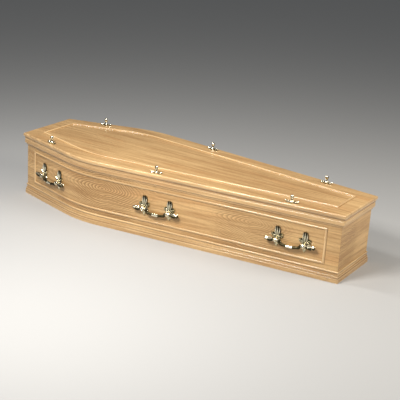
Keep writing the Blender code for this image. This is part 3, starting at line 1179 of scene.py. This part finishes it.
@dataclass(frozen=True)
class Place:
    """Where a fitting stands: a point and the direction of its own X axis in plan."""

    origin: tuple[float, float, float]
    along: tuple[float, float]

    def moved(self, distance: float) -> "Place":
        """The same place, moved along its own X axis."""
        x, y, z = self.origin
        return Place((x + distance * self.along[0], y + distance * self.along[1], z), self.along)

    def matrix(self) -> Matrix:
        """The transform from the fitting's own axes: X along, -Y outwards, Z up."""
        turn = math.atan2(self.along[1], self.along[0])
        return Matrix.Translation(Vector(self.origin)) @ Matrix.Rotation(turn, 4, "Z")


def curve_through(keys: Sequence[Sequence[float]], steps: int = 5) -> np.ndarray:
    """A smooth curve through key points.

    Between two keys each coordinate is the cubic that meets both with the slopes
    (next - previous) / 2.

    Args:
        keys: (keys, coordinates).
        steps: points to each stretch.

    Returns:
        (points, coordinates), the first and last key included.
    """
    keys = np.array(keys, dtype=float)
    slope = np.gradient(keys, axis=0)
    s = np.linspace(0, 1, steps + 1)[:-1, None, None]
    run = (2 * s ** 3 - 3 * s ** 2 + 1) * keys[:-1] + (s ** 3 - 2 * s ** 2 + s) * slope[:-1]
    run = run + (3 * s ** 2 - 2 * s ** 3) * keys[1:] + (s ** 3 - s ** 2) * slope[1:]
    return np.concatenate([run.transpose(1, 0, 2).reshape(-1, keys.shape[1]), keys[-1:]])


class Axis(Enum):
    """The line that a turned form stands round, in a casting's own axes."""

    ALONG = "x"
    OUT = "-y"
    UP = "z"

    def points(self, level: np.ndarray, radius: np.ndarray, angle: np.ndarray) -> np.ndarray:
        """Places round the line.

        Args:
            level: distances along the line.
            radius: distances from it.
            angle: angles round it.

        Returns:
            (rows, points, 3) places.
        """
        beside, over = radius * np.cos(angle), radius * np.sin(angle)
        parts = {"x": (level, beside, over), "-y": (beside, -level, over), "z": (beside, over, level)}
        return np.stack(np.broadcast_arrays(*parts[self.value]), axis=-1)


@dataclass(frozen=True)
class Turned:
    """A turned form, round or lobed like a rosette or a bud."""

    profile: tuple[tuple[float, float], ...]
    lobes: int = 0
    depth: float = 0.0
    dark_within: float = 0.0
    turns: int = 40
    steps: int = 4
    least: float = 0.0002
    fade: float = 1500.0
    groove_shade: float = 0.8

    def add(self, skin: Skin, axis: Axis, centre: Sequence[float] = (0, 0, 0)) -> None:
        """Adds the form: a smooth profile of (level, radius) carried round its axis.

        The radius is profile * (1 - depth * (0.5 - 0.5 * cos(lobes * angle))). The form is dark
        inside the radius dark_within and in the grooves between its lobes.

        Args:
            skin: the casting that it joins.
            axis: the line that it stands round.
            centre: where that line passes.
        """
        level, radius = curve_through(self.profile, self.steps).T[..., None]
        radius = np.maximum(radius, self.least)
        angle = np.linspace(0, 2 * math.pi, self.turns, endpoint=False)
        dip = 0.5 - 0.5 * np.cos(self.lobes * angle) * np.ones_like(radius)
        points = axis.points(level, radius * (1 - self.depth * dip), angle) + np.array(centre)
        # Dark patina with painted shade inside dark_within and in the grooves between the lobes.
        inside = np.clip((self.dark_within - radius) * self.fade, 0, 1)
        grooves = self.groove_shade * dip ** 3 * (self.depth > 0)
        skin.tube(points, flat_uv(points), np.clip(inside + grooves, 0, 1))


@dataclass(frozen=True)
class Leaf:
    """A pointed cast leaf on a bowed centre line, from its root to its tip."""

    root: tuple[float, float]
    tip: tuple[float, float]
    half_width: float
    rise: float
    bow: float = 0.0
    curl: float = 0.0
    widest: float = 0.45
    stem: float = 0.45
    edge: float = 0.0012
    fluted: bool = True
    dark_root: float = 0.0
    sink: float = 0.93
    rows: int = 22
    front: int = 19

    def mirrored(self) -> "Leaf":
        """The same leaf on the other hand."""
        (root_x, root_z), (tip_x, tip_z) = self.root, self.tip
        return replace(self, root=(-root_x, root_z), tip=(-tip_x, tip_z), bow=-self.bow)

    def surface(self) -> tuple[np.ndarray, np.ndarray, np.ndarray, np.ndarray]:
        """The leaf as closed rings along its centre line.

        With s along the leaf and t across it, the centre line is the straight one plus
        bow * length * sin(pi s) sideways. The half width is half_width * sin(pi s^p)^0.75,
        with its peak at widest and no less than the stem's share before it. The front stands
        at edge + rise * (0.55 + 0.45 sin(pi s^0.8)) * (0.62 + 0.38 cos(2 pi t)) * sqrt(1 - t^6):
        a midrib between two gutters. A rib, which isn't fluted, has sqrt(1 - t^2) for the last
        two factors and is dark beyond 0.55 of its half width. The tip lifts by curl * s^2.5, and
        the leaf is dark from its root to the share dark_root of its length.

        Returns:
            Places across and up, heights, and how deep in a gutter each point is.
        """
        s = np.linspace(0, 1, self.rows)[:, None]
        t = np.concatenate([np.linspace(-1, 1, self.front), np.linspace(1, -1, 4)])[None, :]
        on_front = (np.arange(t.size) < self.front)[None, :]
        root, tip = np.array(self.root), np.array(self.tip)
        length = np.linalg.norm(tip - root)
        sideways = np.array([root[1] - tip[1], tip[0] - root[0]])
        centre = root + s * (tip - root) + self.bow * np.sin(math.pi * s) * sideways
        ahead = np.gradient(centre, axis=0)
        ahead /= np.linalg.norm(ahead, axis=1, keepdims=True)
        swell = np.sin(math.pi * s ** (math.log(0.5) / math.log(self.widest))) ** 0.75
        swell = np.where(s < self.widest, np.maximum(swell, self.stem), np.maximum(swell, 0.0003 / length))
        across = self.half_width * swell * t
        x = centre[:, :1] - ahead[:, 1:] * across
        z = centre[:, 1:] + ahead[:, :1] * across
        crown = self.rise * (0.55 + 0.45 * np.sin(math.pi * s ** 0.8))
        # Hollow mask of the leaf: dark patina with painted shade in the gutters, painted shade on a rib's
        # flanks, and painted shade on the leaf's edge wall and back.
        if self.fluted:
            form = (0.62 + 0.38 * np.cos(2 * math.pi * t)) * np.sqrt(np.clip(1 - t ** 6, 0, 1))
            gutter = np.where(np.abs(t) > 0.93, 0.35, (0.5 - 0.5 * np.cos(2 * math.pi * t)) ** 3)
        else:
            form = np.sqrt(np.clip(1 - t ** 2, 0, 1))
            gutter = np.clip((np.abs(t) - 0.55) / 0.2, 0, 1)
        lift = self.curl * s ** 2.5
        height = lift + on_front * (self.edge + crown * form)
        # Painted shade from the root, where the leaf grows out from under the boss and the other leaves.
        root_shade = np.clip((self.dark_root - s) * 6, 0, 1)
        return x, z, height, np.maximum(np.where(on_front, gutter, 1.0), root_shade)

    def on_wall(self, skin: Skin) -> None:
        """Adds the leaf lying on the wall, its height standing out along -Y.

        Args:
            skin: the casting that it joins.
        """
        x, z, height, gutter = self.surface()
        points = np.stack([x, -(TOUCH_GAP + height), z], axis=-1)
        skin.tube(points, flat_uv(points), gutter)

    def on_lid(self, skin: Skin, turn: float) -> None:
        """Adds the leaf lying on the lid.

        Args:
            skin: the casting that it joins.
            turn: the angle round Z that it points along.
        """
        x, z, height, gutter = self.surface()
        cosine, sine = math.cos(turn), math.sin(turn)
        points = np.stack([z * cosine - x * sine, z * sine + x * cosine, height], axis=-1)
        skin.tube(points, flat_uv(points), gutter)

    def round_core(self, skin: Skin, axis: Axis, core: np.ndarray, turn: float, start: float = 0.0,
                   way: int = 1) -> None:
        """Adds the leaf as a petal wrapped on a turned core, with painted shade below on a level one.

        Args:
            skin: the casting that it joins.
            axis: the core's line.
            core: (points, 2) of distance from the start and radius.
            turn: where round the core it grows.
            start: where along the line the core starts.
            way: 1 or -1 along the line.
        """
        x, z, height, gutter = self.surface()
        radius = np.interp(z, core[:, 0], core[:, 1])
        angle = turn + x / np.maximum(radius, self.half_width)
        points = axis.points(start + way * z, radius * self.sink + height, angle)
        # Painted shade on the underside of a level core.
        under = np.clip(0.95 - 1.2 * np.sin(angle), 0, 1) * (axis is Axis.ALONG)
        skin.tube(points, flat_uv(points), np.maximum(gutter, under))


@dataclass
class BackPlate:
    """A leafy back plate with the lug that the bail turns in."""

    above: float = 0.071
    below: float = 0.040
    half_width: float = 0.0305
    ground: float = 0.0024
    boss: float = 0.0155
    boss_rise: float = 0.0078
    pivot_out: float = 0.020
    bore: float = 0.0080
    lug_wall: float = 0.0042
    lug_length: float = 0.014
    rosette_height: float = -0.0015

    def leaves(self) -> list[Leaf]:
        """The spire with its three ribs, side leaves, lobes, curls and drop, from top to bottom.

        Returns:
            The leaves, placed by shares of the plate's reach up, down and to the side.
        """
        up, down, side = self.above, self.below, self.half_width
        # The spire is painted dark over its whole length: painted shade between the ribs that lie on it.
        spire = Leaf((0, 0.14 * up), (0, 0.93 * up), 0.0138, 0.0060, widest=0.62, stem=0.5, dark_root=1.2)
        keel = Leaf((0, 0.12 * up), (0, up), 0.0052, 0.0116, widest=0.55, stem=0.7, fluted=False)
        drop = Leaf((0, -0.20 * down), (0, -down), 0.0085, 0.0068, widest=0.35, stem=0.8)
        rib = replace(keel, root=(0.0040, 0.16 * up), tip=(0.31 * side, 0.95 * up), half_width=0.0046,
                      rise=0.0096, bow=-0.07, widest=0.6, stem=0.6)
        wing = Leaf((0.0050, 0.14 * up), (side, 0.48 * up), 0.0082, 0.0072, bow=-0.12, curl=0.0026,
                    widest=0.42)
        lobe = replace(keel, root=(0.0060, 0.13 * up), tip=(0.46 * side, 0.36 * up), half_width=0.0045,
                       rise=0.0100, bow=-0.1, widest=0.6)
        low_leaf = Leaf((0.0040, -0.02 * down), (0.80 * side, -0.38 * down), 0.0066, 0.0052, bow=0.12,
                        widest=0.42)
        curl = Leaf((0.0030, -0.25 * down), (0.34 * side, -0.72 * down), 0.0036, 0.0056, bow=0.1, widest=0.5)
        hand = [rib, wing, lobe, low_leaf, curl]
        return [spire, keel, drop] + hand + [leaf.mirrored() for leaf in hand]

    def outline(self) -> np.ndarray:
        """The ground between the leaves: shares of the half width and of the reach up or down.

        Returns:
            (points, 2) across and up, closed.
        """
        right = np.array([
            (0.00, 0.94), (0.28, 0.92), (0.41, 0.78), (0.43, 0.62), (0.36, 0.47), (0.86, 0.46), (0.52, 0.22),
            (0.55, -0.14), (0.70, -0.35), (0.40, -0.50), (0.24, -0.72), (0.00, -0.92),
        ])
        reach = np.where(right[:, 1] > 0, self.above, self.below)
        right = np.column_stack([right[:, 0] * self.half_width, right[:, 1] * reach])
        return np.concatenate([right, right[-2:0:-1] * np.array([-1, 1])])

    def skin(self) -> Skin:
        """The casting: a thin ground painted dark, leaves and boss on it, the lug and its rosette.

        Returns:
            The casting about the bail's pivot line, on the wall's face.
        """
        skin = Skin()
        x, z = self.outline().T
        levels = ((1.0, TOUCH_GAP), (1.0, self.ground * 0.6), (0.97, self.ground))
        rings = [np.column_stack([x * share, np.full(x.size, -level), z * share]) for share, level in levels]
        points = np.stack(rings)
        # The ground is dark all over: dark patina with painted shade between the leaves.
        skin.tube(points, flat_uv(points), np.ones(points.shape[:2]))
        for leaf in self.leaves():
            leaf.on_wall(skin)
        profile = ((0.001, self.boss), (0.0035, self.boss), (0.0062, 0.0125), (self.boss_rise, 0.0085),
                   (self.boss_rise, 0.0002))
        Turned(profile, lobes=10, depth=0.10).add(skin, Axis.OUT)
        self.add_lug(skin)
        return skin

    def add_lug(self, skin: Skin) -> None:
        """The lug: a strap carried up from the plate, round the journal and back, with a rosette.

        The strap's section is a superellipse, thick * |sin a|^0.7 by length * |cos a|^0.55.

        Args:
            skin: the casting that it joins.
        """
        middle = self.bore + self.lug_wall / 2
        legs = np.linspace(self.ground, self.pivot_out, 7)[:-1]
        low = np.column_stack([legs, np.full(legs.size, -middle)])
        over = arc((self.pivot_out, 0), (middle, middle), -90, 90, 26)
        path = np.concatenate([low, over, low[::-1] * np.array([1, -1])])
        ahead = np.gradient(path, axis=0)
        ahead /= np.linalg.norm(ahead, axis=1, keepdims=True)
        turn = np.linspace(0, 2 * math.pi, 28, endpoint=False)
        wide = self.lug_length / 2 * np.sign(np.cos(turn)) * np.abs(np.cos(turn)) ** 0.55
        thick = self.lug_wall / 2 * np.sign(np.sin(turn)) * np.abs(np.sin(turn)) ** 0.7
        out = path[:, :1] + ahead[:, 1:] * thick
        z = path[:, 1:] - ahead[:, :1] * thick
        points = np.stack([np.broadcast_to(wide, out.shape), -out, z], axis=-1)
        skin.tube(points, flat_uv(points))
        front = self.pivot_out + self.bore + self.lug_wall
        steps = ((-0.0035, 0.0056), (-0.0005, 0.0066), (0.0010, 0.0060), (0.0014, 0.0048), (0.0002, 0.0034),
                 (-0.0008, 0.0020), (-0.0009, 0.0002))
        profile = tuple((front + step, radius) for step, radius in steps)
        rosette = Turned(profile, lobes=8, depth=0.13, dark_within=0.0036)
        rosette.add(skin, Axis.OUT, (0, 0, self.rosette_height))


def flat_uv(points: np.ndarray) -> np.ndarray:
    """UVs of a casting, its own X and Z, with the closing column added."""
    closed = np.concatenate([points, points[:, :1]], axis=1)
    return closed[..., [0, 2]]


@dataclass
class Bail:
    """The swing bail: faceted grip, steep elbows, journals, collars and leafy finials."""

    spacing: float = 0.145
    lug_length: float = 0.014
    end_play: float = 0.001
    journal: float = 0.0072
    collar: float = 0.0098
    collar_length: float = 0.004
    finial_length: float = 0.050
    finial: float = 0.013
    grip_drop: float = 0.0195
    grip: float = 0.0093
    band: float = 0.017
    rim: float = 0.0007
    lip: float = 0.0012
    knuckle: float = 0.0008
    arm: float = 0.0078
    elbow: float = 0.0115
    ease: float = 0.0025
    around: int = 40
    flats: int = 8
    corner: float = 0.985
    petals: int = 6

    @property
    def play(self) -> float:
        """From the lug's middle to the collar beside it."""
        return self.lug_length / 2 + self.end_play

    @property
    def arm_end(self) -> float:
        """Where the inner collar starts."""
        return self.spacing / 2 - self.play - self.collar_length

    @property
    def finial_start(self) -> float:
        """Where the outer collar ends."""
        return self.spacing / 2 + self.play + self.collar_length

    def sag(self, along: np.ndarray, ease: float) -> np.ndarray:
        """The height of the line: level, a slight slope and a steep elbow, eased.

        Args:
            along: (points,) distance from the middle.
            ease: half the length that each height is averaged over.

        Returns:
            (points,) heights, 0 at the pivot.
        """
        keys = ((0, -1), (self.band, -1), (self.arm_end - self.elbow, -0.74), (self.arm_end - self.ease, 0))
        place, share = np.array(keys).T
        window = np.linspace(-ease, ease, 11)
        return self.grip_drop * np.interp(np.abs(along[:, None] + window), place, share).mean(axis=1)

    def core(self) -> np.ndarray:
        """The finial under its petals, as shares of its length and radius.

        Returns:
            (points, 2) of distance from the collar and radius.
        """
        keys = ((0.0, 0.56), (0.06, 0.50), (0.14, 0.60), (0.32, 0.76), (0.50, 0.66), (0.62, 0.50),
                (0.74, 0.48), (0.84, 0.44), (0.93, 0.26), (1.0, 0.05))
        return curve_through(keys) * np.array([self.finial_length, self.finial])

    def stations(self) -> np.ndarray:
        """The outline from the middle of the grip to one tip.

        Returns:
            (points, 2) of distance from the middle and radius.
        """
        elbow, rim, lip = self.arm_end - self.elbow, self.grip + self.rim, self.lip
        band = [(0, self.grip), (self.band - 2 * lip, self.grip), (self.band - 1.6 * lip, rim),
                (self.band - 0.3 * lip, rim), (self.band, self.arm), (self.band + lip / 2, self.arm)]
        ridge = [(elbow - 2 * lip, self.arm), (elbow - lip, self.arm + self.knuckle), (elbow, self.arm)]
        bend = [(x, self.arm) for x in np.linspace(elbow, self.arm_end, 12)[1:-1]]
        half, bulge = self.collar_length / 2, self.collar - self.arm
        inner, outer = (arc((middle, self.arm), (half, bulge), 180, 0, 8)
                        for middle in (self.arm_end + half, self.finial_start - half))
        lug, reach = self.spacing / 2, self.play - TOUCH_GAP
        journal = [(lug - reach, self.journal), (lug + reach, self.journal)]
        finial = self.core()[1:] + np.array([self.finial_start, 0])
        return np.concatenate([band, ridge, bend, inner, journal, outer, finial])

    def skin(self) -> Skin:
        """The bail about its pivot: rings carried along its line, and petals on its finials.

        On the grip a ring's radius is the rounded octagon's, apothem / cos(angle from the
        nearest flat's middle), capped a little short of its corners. The arms and the finials'
        cores are painted dark all round, a painted dark reflection; the band and the journals
        have painted shade below.

        Returns:
            The casting, its pivot line on the X axis.
        """
        along, radius = self.stations().T
        along = np.concatenate([-along[:0:-1], along])
        radius = np.concatenate([radius[:0:-1], radius])
        on_grip = (np.abs(along) < self.arm_end)[:, None]
        turn = np.linspace(0, 2 * math.pi, self.around, endpoint=False)
        flat = 2 * math.pi / self.flats
        facet = math.cos(flat / 2) / np.cos((turn + flat / 2) % flat - flat / 2)
        ring = radius[:, None] * np.where(on_grip, np.minimum(facet, self.corner), 1.0)
        step = 0.0005
        slope = (self.sag(along + step, 3 * self.ease) - self.sag(along - step, 3 * self.ease)) / (2 * step)
        ahead = np.column_stack([np.ones_like(slope), slope * on_grip[:, 0]])
        ahead /= np.linalg.norm(ahead, axis=1, keepdims=True)
        up = ring * np.sin(turn)
        x = along[:, None] - ahead[:, 1:] * up
        z = self.sag(along, self.ease)[:, None] + ahead[:, :1] * up
        points = np.stack([x, ring * np.cos(turn), z], axis=-1)
        far = np.abs(along)
        # Painted dark reflection on the arms and finial cores all round; painted shade under the band and the
        # journals.
        shaded_only_below = (far <= self.band) | ((far >= self.arm_end) & (far <= self.finial_start))
        under = np.clip(-0.2 - 1.4 * np.sin(turn), 0, 1) * np.ones_like(ring)
        shade = np.where(shaded_only_below[:, None], under, 1.0)
        skin = Skin()
        skin.tube(points, flat_uv(points), shade)
        for way in (-1, 1):
            self.add_petals(skin, way)
        return skin

    def add_petals(self, skin: Skin, way: int) -> None:
        """Two whorls of petals, the outer one set between the leaves of the inner one.

        Args:
            skin: the casting that they join.
            way: 1 for the finial at +X, -1 for the other.
        """
        length = self.finial_length
        inner = Leaf((0, 0.05 * length), (0, 0.58 * length), 0.0056, 0.0022, curl=0.0040, widest=0.55,
                     edge=0.0009, rows=16, front=13)
        outer = replace(inner, root=(0, 0.40 * length), tip=(0, 0.90 * length), half_width=0.0040,
                        rise=0.0018, curl=0.0024, widest=0.5)
        core = self.core()
        for petal, shift in ((inner, 0.25), (outer, 0.75)):
            for place in range(self.petals):
                angle = 2 * math.pi * (place + shift) / self.petals
                petal.round_core(skin, Axis.ALONG, core, angle, way * self.finial_start, way)


@dataclass
class Handles:
    """Three handles on each side."""

    plate: BackPlate = field(default_factory=BackPlate)
    bail: Bail = field(default_factory=Bail)

    def build(self, shop: Workshop, brass: bpy.types.Material) -> None:
        """Makes each bail on its joint, and its two plates on the wall behind it.

        Args:
            shop: where the pieces go.
            brass: the castings' finish.
        """
        plate = self.plate.skin().mesh("back_plate", 40)
        bail = self.bail.skin().mesh("bail", 30)
        bodies = {joint["child"]: joint for joint in frame["joints"]}
        for side in Side:
            for spot in ("head", "middle", "foot"):
                joint = bodies[f"handle_{side.label}_{spot}"]
                place = handle_place(joint)
                bail_mesh = bail.copy()
                bail_mesh.transform(place.matrix())
                shop.finish(bail_mesh, brass, f"bail_{side.label}_{spot}", "pale_brass", joint["child"])
                foot = Vector(place.origin) - outwards(place) * self.plate.pivot_out
                on_wall = Place(tuple(foot), place.along)
                for end in End:
                    plate_mesh = plate.copy()
                    hand = -end.value * side.value
                    plate_mesh.transform(on_wall.moved(hand * self.bail.spacing / 2).matrix())
                    node = f"handle_plate_{side.label}_{spot}_{end.label}"
                    shop.finish(plate_mesh, brass, node, "pale_brass")


def handle_place(joint: dict) -> Place:
    """A bail's pivot and the direction of its own X axis, which is against the joint's axis."""
    axis = joint["axis"]
    return Place(tuple(joint["pos_m"]), (-axis[0], -axis[1]))


def outwards(place: Place) -> Vector:
    """The direction away from the wall."""
    return Vector((place.along[1], -place.along[0], 0))


@dataclass
class WreathHolder:
    """A holder on the lid above each handle: leafy foot, thin neck and fluted bud."""

    arm: float = 0.035
    side_leaf: float = 0.018
    height: float = 0.042
    sepals: int = 5

    def stem(self) -> Turned:
        """The hub, neck, collar and pointed bud, as shares of the height and radii.

        Returns:
            The turned form.
        """
        keys = ((0.0, 0.0096), (0.05, 0.0106), (0.13, 0.0098), (0.20, 0.0068), (0.28, 0.0046),
                (0.35, 0.0040), (0.39, 0.0044), (0.41, 0.0062), (0.44, 0.0064), (0.47, 0.0052),
                (0.53, 0.0064), (0.62, 0.0080), (0.71, 0.0083), (0.80, 0.0074), (0.88, 0.0054),
                (0.95, 0.0030), (1.0, 0.0006))
        profile = tuple((share * self.height, radius) for share, radius in keys)
        return Turned(profile, lobes=self.sepals, depth=0.2, dark_within=0.0048, turns=50)

    def skin(self) -> Skin:
        """The hub and bud, two long trefoil arms, two short leaves and a calyx round the bud.

        Returns:
            The casting, standing on z = 0.
        """
        skin = Skin()
        stem = self.stem()
        stem.add(skin, Axis.UP)
        # The long arms are painted dark over their inner half: painted shade beside the hub.
        long_leaf = Leaf((0, 0.005), (0, self.arm), 0.0062, 0.0036, curl=0.0062, widest=0.62, edge=0.0014,
                         dark_root=0.5)
        lobe = replace(long_leaf, root=(0.0015, 0.012), tip=(0.0105, 0.0255), half_width=0.0036, rise=0.0028,
                       bow=-0.14, curl=0.0030, widest=0.6)
        short_leaf = replace(long_leaf, root=(0, 0.004), tip=(0, self.side_leaf), curl=0.0030, widest=0.55)
        for turn in (0.0, math.pi):
            for leaf in (long_leaf, lobe, lobe.mirrored()):
                leaf.on_lid(skin, turn)
            short_leaf.on_lid(skin, turn + math.pi / 2)
        core = curve_through(stem.profile)
        sepal = Leaf((0, 0.42 * self.height), (0, 0.86 * self.height), 0.0036, 0.0011, curl=0.0010,
                     edge=0.0006, rows=16, front=11)
        for place in range(self.sepals):
            sepal.round_core(skin, Axis.UP, core, 2 * math.pi * place / self.sepals)
        return skin

    def build(self, shop: Workshop, brass: bpy.types.Material) -> None:
        """Stands the six holders on the lid, each in line with the handle below it.

        Args:
            shop: where the pieces go.
            brass: the castings' finish.
        """
        casting = self.skin().mesh("wreath_holder", 40)
        for joint in frame["joints"]:
            label = joint["child"].removeprefix("handle_")
            low, high = (np.array(item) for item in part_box(f"wreath_holder_{label}"))
            middle = (low + high) / 2
            mesh = casting.copy()
            place = Place((middle[0], middle[1], low[2]), handle_place(joint).along)
            mesh.transform(place.matrix())
            shop.finish(mesh, brass, f"wreath_holder_{label}", "pale_brass")


@dataclass(frozen=True)
class PhotoCamera:
    """The camera of the photograph, looking at the coffin from above its foot end."""

    place: tuple[float, float, float] = (2.776, -4.4665, 2.0583)
    azimuth: float = 31.21
    elevation: float = 19.99
    roll: float = 3.68
    lens: float = 93.88

    def build(self) -> None:
        """Makes the camera and sets it as the scene's own."""
        around, above, roll = (math.radians(item) for item in (self.azimuth, self.elevation, self.roll))
        level = math.cos(above)
        back = Vector((math.sin(around) * level, -math.cos(around) * level, math.sin(above)))
        right = (-back).cross(Vector((0, 0, 1))).normalized()
        up = right.cross(-back)
        turned_right = right * math.cos(roll) + up * math.sin(roll)
        turned_up = up * math.cos(roll) - right * math.sin(roll)
        data = bpy.data.cameras.new("photo_camera")
        data.lens = self.lens
        camera = into_scene("photo_camera", data)
        axes = Matrix((turned_right, turned_up, back)).transposed().to_4x4()
        camera.matrix_world = Matrix.Translation(Vector(self.place)) @ axes
        bpy.context.scene.camera = camera


@dataclass(frozen=True)
class Softbox:
    """A rectangular studio light that faces a point."""

    name: str
    place: tuple[float, float, float]
    aim: tuple[float, float, float]
    size: tuple[float, float]
    watts: float
    colour: Colour = (1.0, 1.0, 1.0)

    def build(self) -> None:
        """Makes the light."""
        data = bpy.data.lights.new(self.name, "AREA")
        data.shape = "RECTANGLE"
        data.size, data.size_y = self.size
        data.energy = self.watts
        data.color = self.colour
        light = into_scene(self.name, data)
        light.location = self.place
        light.rotation_mode = "QUATERNION"
        light.rotation_quaternion = (Vector(self.aim) - Vector(self.place)).to_track_quat("-Z", "Y")


@dataclass
class Studio:
    """Plain pale floor, soft lights and the camera."""

    floor_size: float = 60.0
    floor_colour: Colour = (0.47, 0.47, 0.465)
    floor_roughness: float = 0.9
    sky: Colour = (0.86, 0.89, 0.92)
    horizon_strength: float = 0.07
    zenith_strength: float = 0.26
    ceiling: tuple[float, float] = (0.25, 0.95)
    lights: tuple[Softbox, ...] = (
        Softbox("key", (0.0, -1.9, 2.0), (0.0, -0.3, 0.2), (0.9, 0.6), 70.0, (1.0, 0.97, 0.93)),
        Softbox("foot", (3.2, 0.3, 2.4), (0.9, 0.0, 0.3), (1.8, 1.8), 86.0, (1.0, 0.94, 0.85)),
        Softbox("window", (-1.05, -0.7, 2.7), (-0.1, -0.7, 0.38), (0.25, 1.5), 28.0, (1.0, 0.98, 0.95)),
    )

    def build(self) -> None:
        """Makes the floor, the world's light, the softboxes and the camera."""
        half = self.floor_size / 2
        mesh = bpy.data.meshes.new("floor")
        corners = [(-half, -half, 0), (half, -half, 0), (half, half, 0), (-half, half, 0)]
        mesh.from_pydata(corners, [], [(0, 1, 2, 3)])
        floor = into_scene("floor", mesh)
        graph = Graph(bpy.data.materials.new("studio_floor"))
        graph.feed(graph.shader.inputs["Base Color"], (*self.floor_colour, 1.0))
        graph.feed(graph.shader.inputs["Roughness"], self.floor_roughness)
        mesh.materials.append(graph.owner)
        self.light_sky()
        bpy.context.scene.view_settings.view_transform = "Standard"
        for light in self.lights:
            light.build()
        PhotoCamera().build()

    def light_sky(self) -> None:
        """A studio ceiling: dim at the horizon and bright overhead."""
        world = bpy.data.worlds.new("studio")
        graph = Graph(world, "Background")
        rise = graph.split(graph.node("ShaderNodeTexCoord", {}, {}, "Generated"))[2]
        overhead = rise.step(*self.ceiling)
        graph.feed(graph.shader.inputs["Color"], (*self.sky, 1.0))
        strength = overhead * (self.zenith_strength - self.horizon_strength) + self.horizon_strength
        graph.feed(graph.shader.inputs["Strength"], strength)
        bpy.context.scene.world = world


def oak_finishes() -> dict[str, bpy.types.Material]:
    """One oak finish for each kind of piece, so that each has its own figure.

    Returns:
        The materials by kind of piece.
    """
    eye = Heart(-0.325, 0.211, 0.86, 0.46)
    finishes = {
        "side": OakFinish("oak_side_veneer", eye, ring_width=0.0084, ring_strength=1.0, coat=0.3),
        "end": OakFinish("oak_end_veneer", Heart(11.0, 0.20, 0.5, 0.2), coat=0.3),
        "lid": OakFinish("oak_lid_veneer", Heart(0.60, 0.05, 1.3, 0.10), ring_strength=0.35),
        "moulding": OakFinish("oak_moulding", Heart(0.0, 0.4, 3.0, 0.1), ring_strength=0.35),
    }
    return {name: finish.material() for name, finish in finishes.items()}


def main() -> None:
    """Builds the coffin's pieces, dresses them and sets the studio round them."""
    logging.basicConfig(level=logging.INFO, format="%(name)s: %(message)s")
    shop = Workshop(oak=oak_finishes())
    brass = BrassFinish("pale_brass", (0.95, 0.89, 0.68), (0.055, 0.045, 0.02)).material()
    Studio().build()
    Boards().build(shop)
    Mouldings().build(shop)
    PanelFrames().build(shop)
    Lid().build(shop)
    Handles().build(shop, brass)
    WreathHolder().build(shop, brass)
    LOG.info("%d pieces in all", shop.made)


if __name__ == "__main__":
    main()
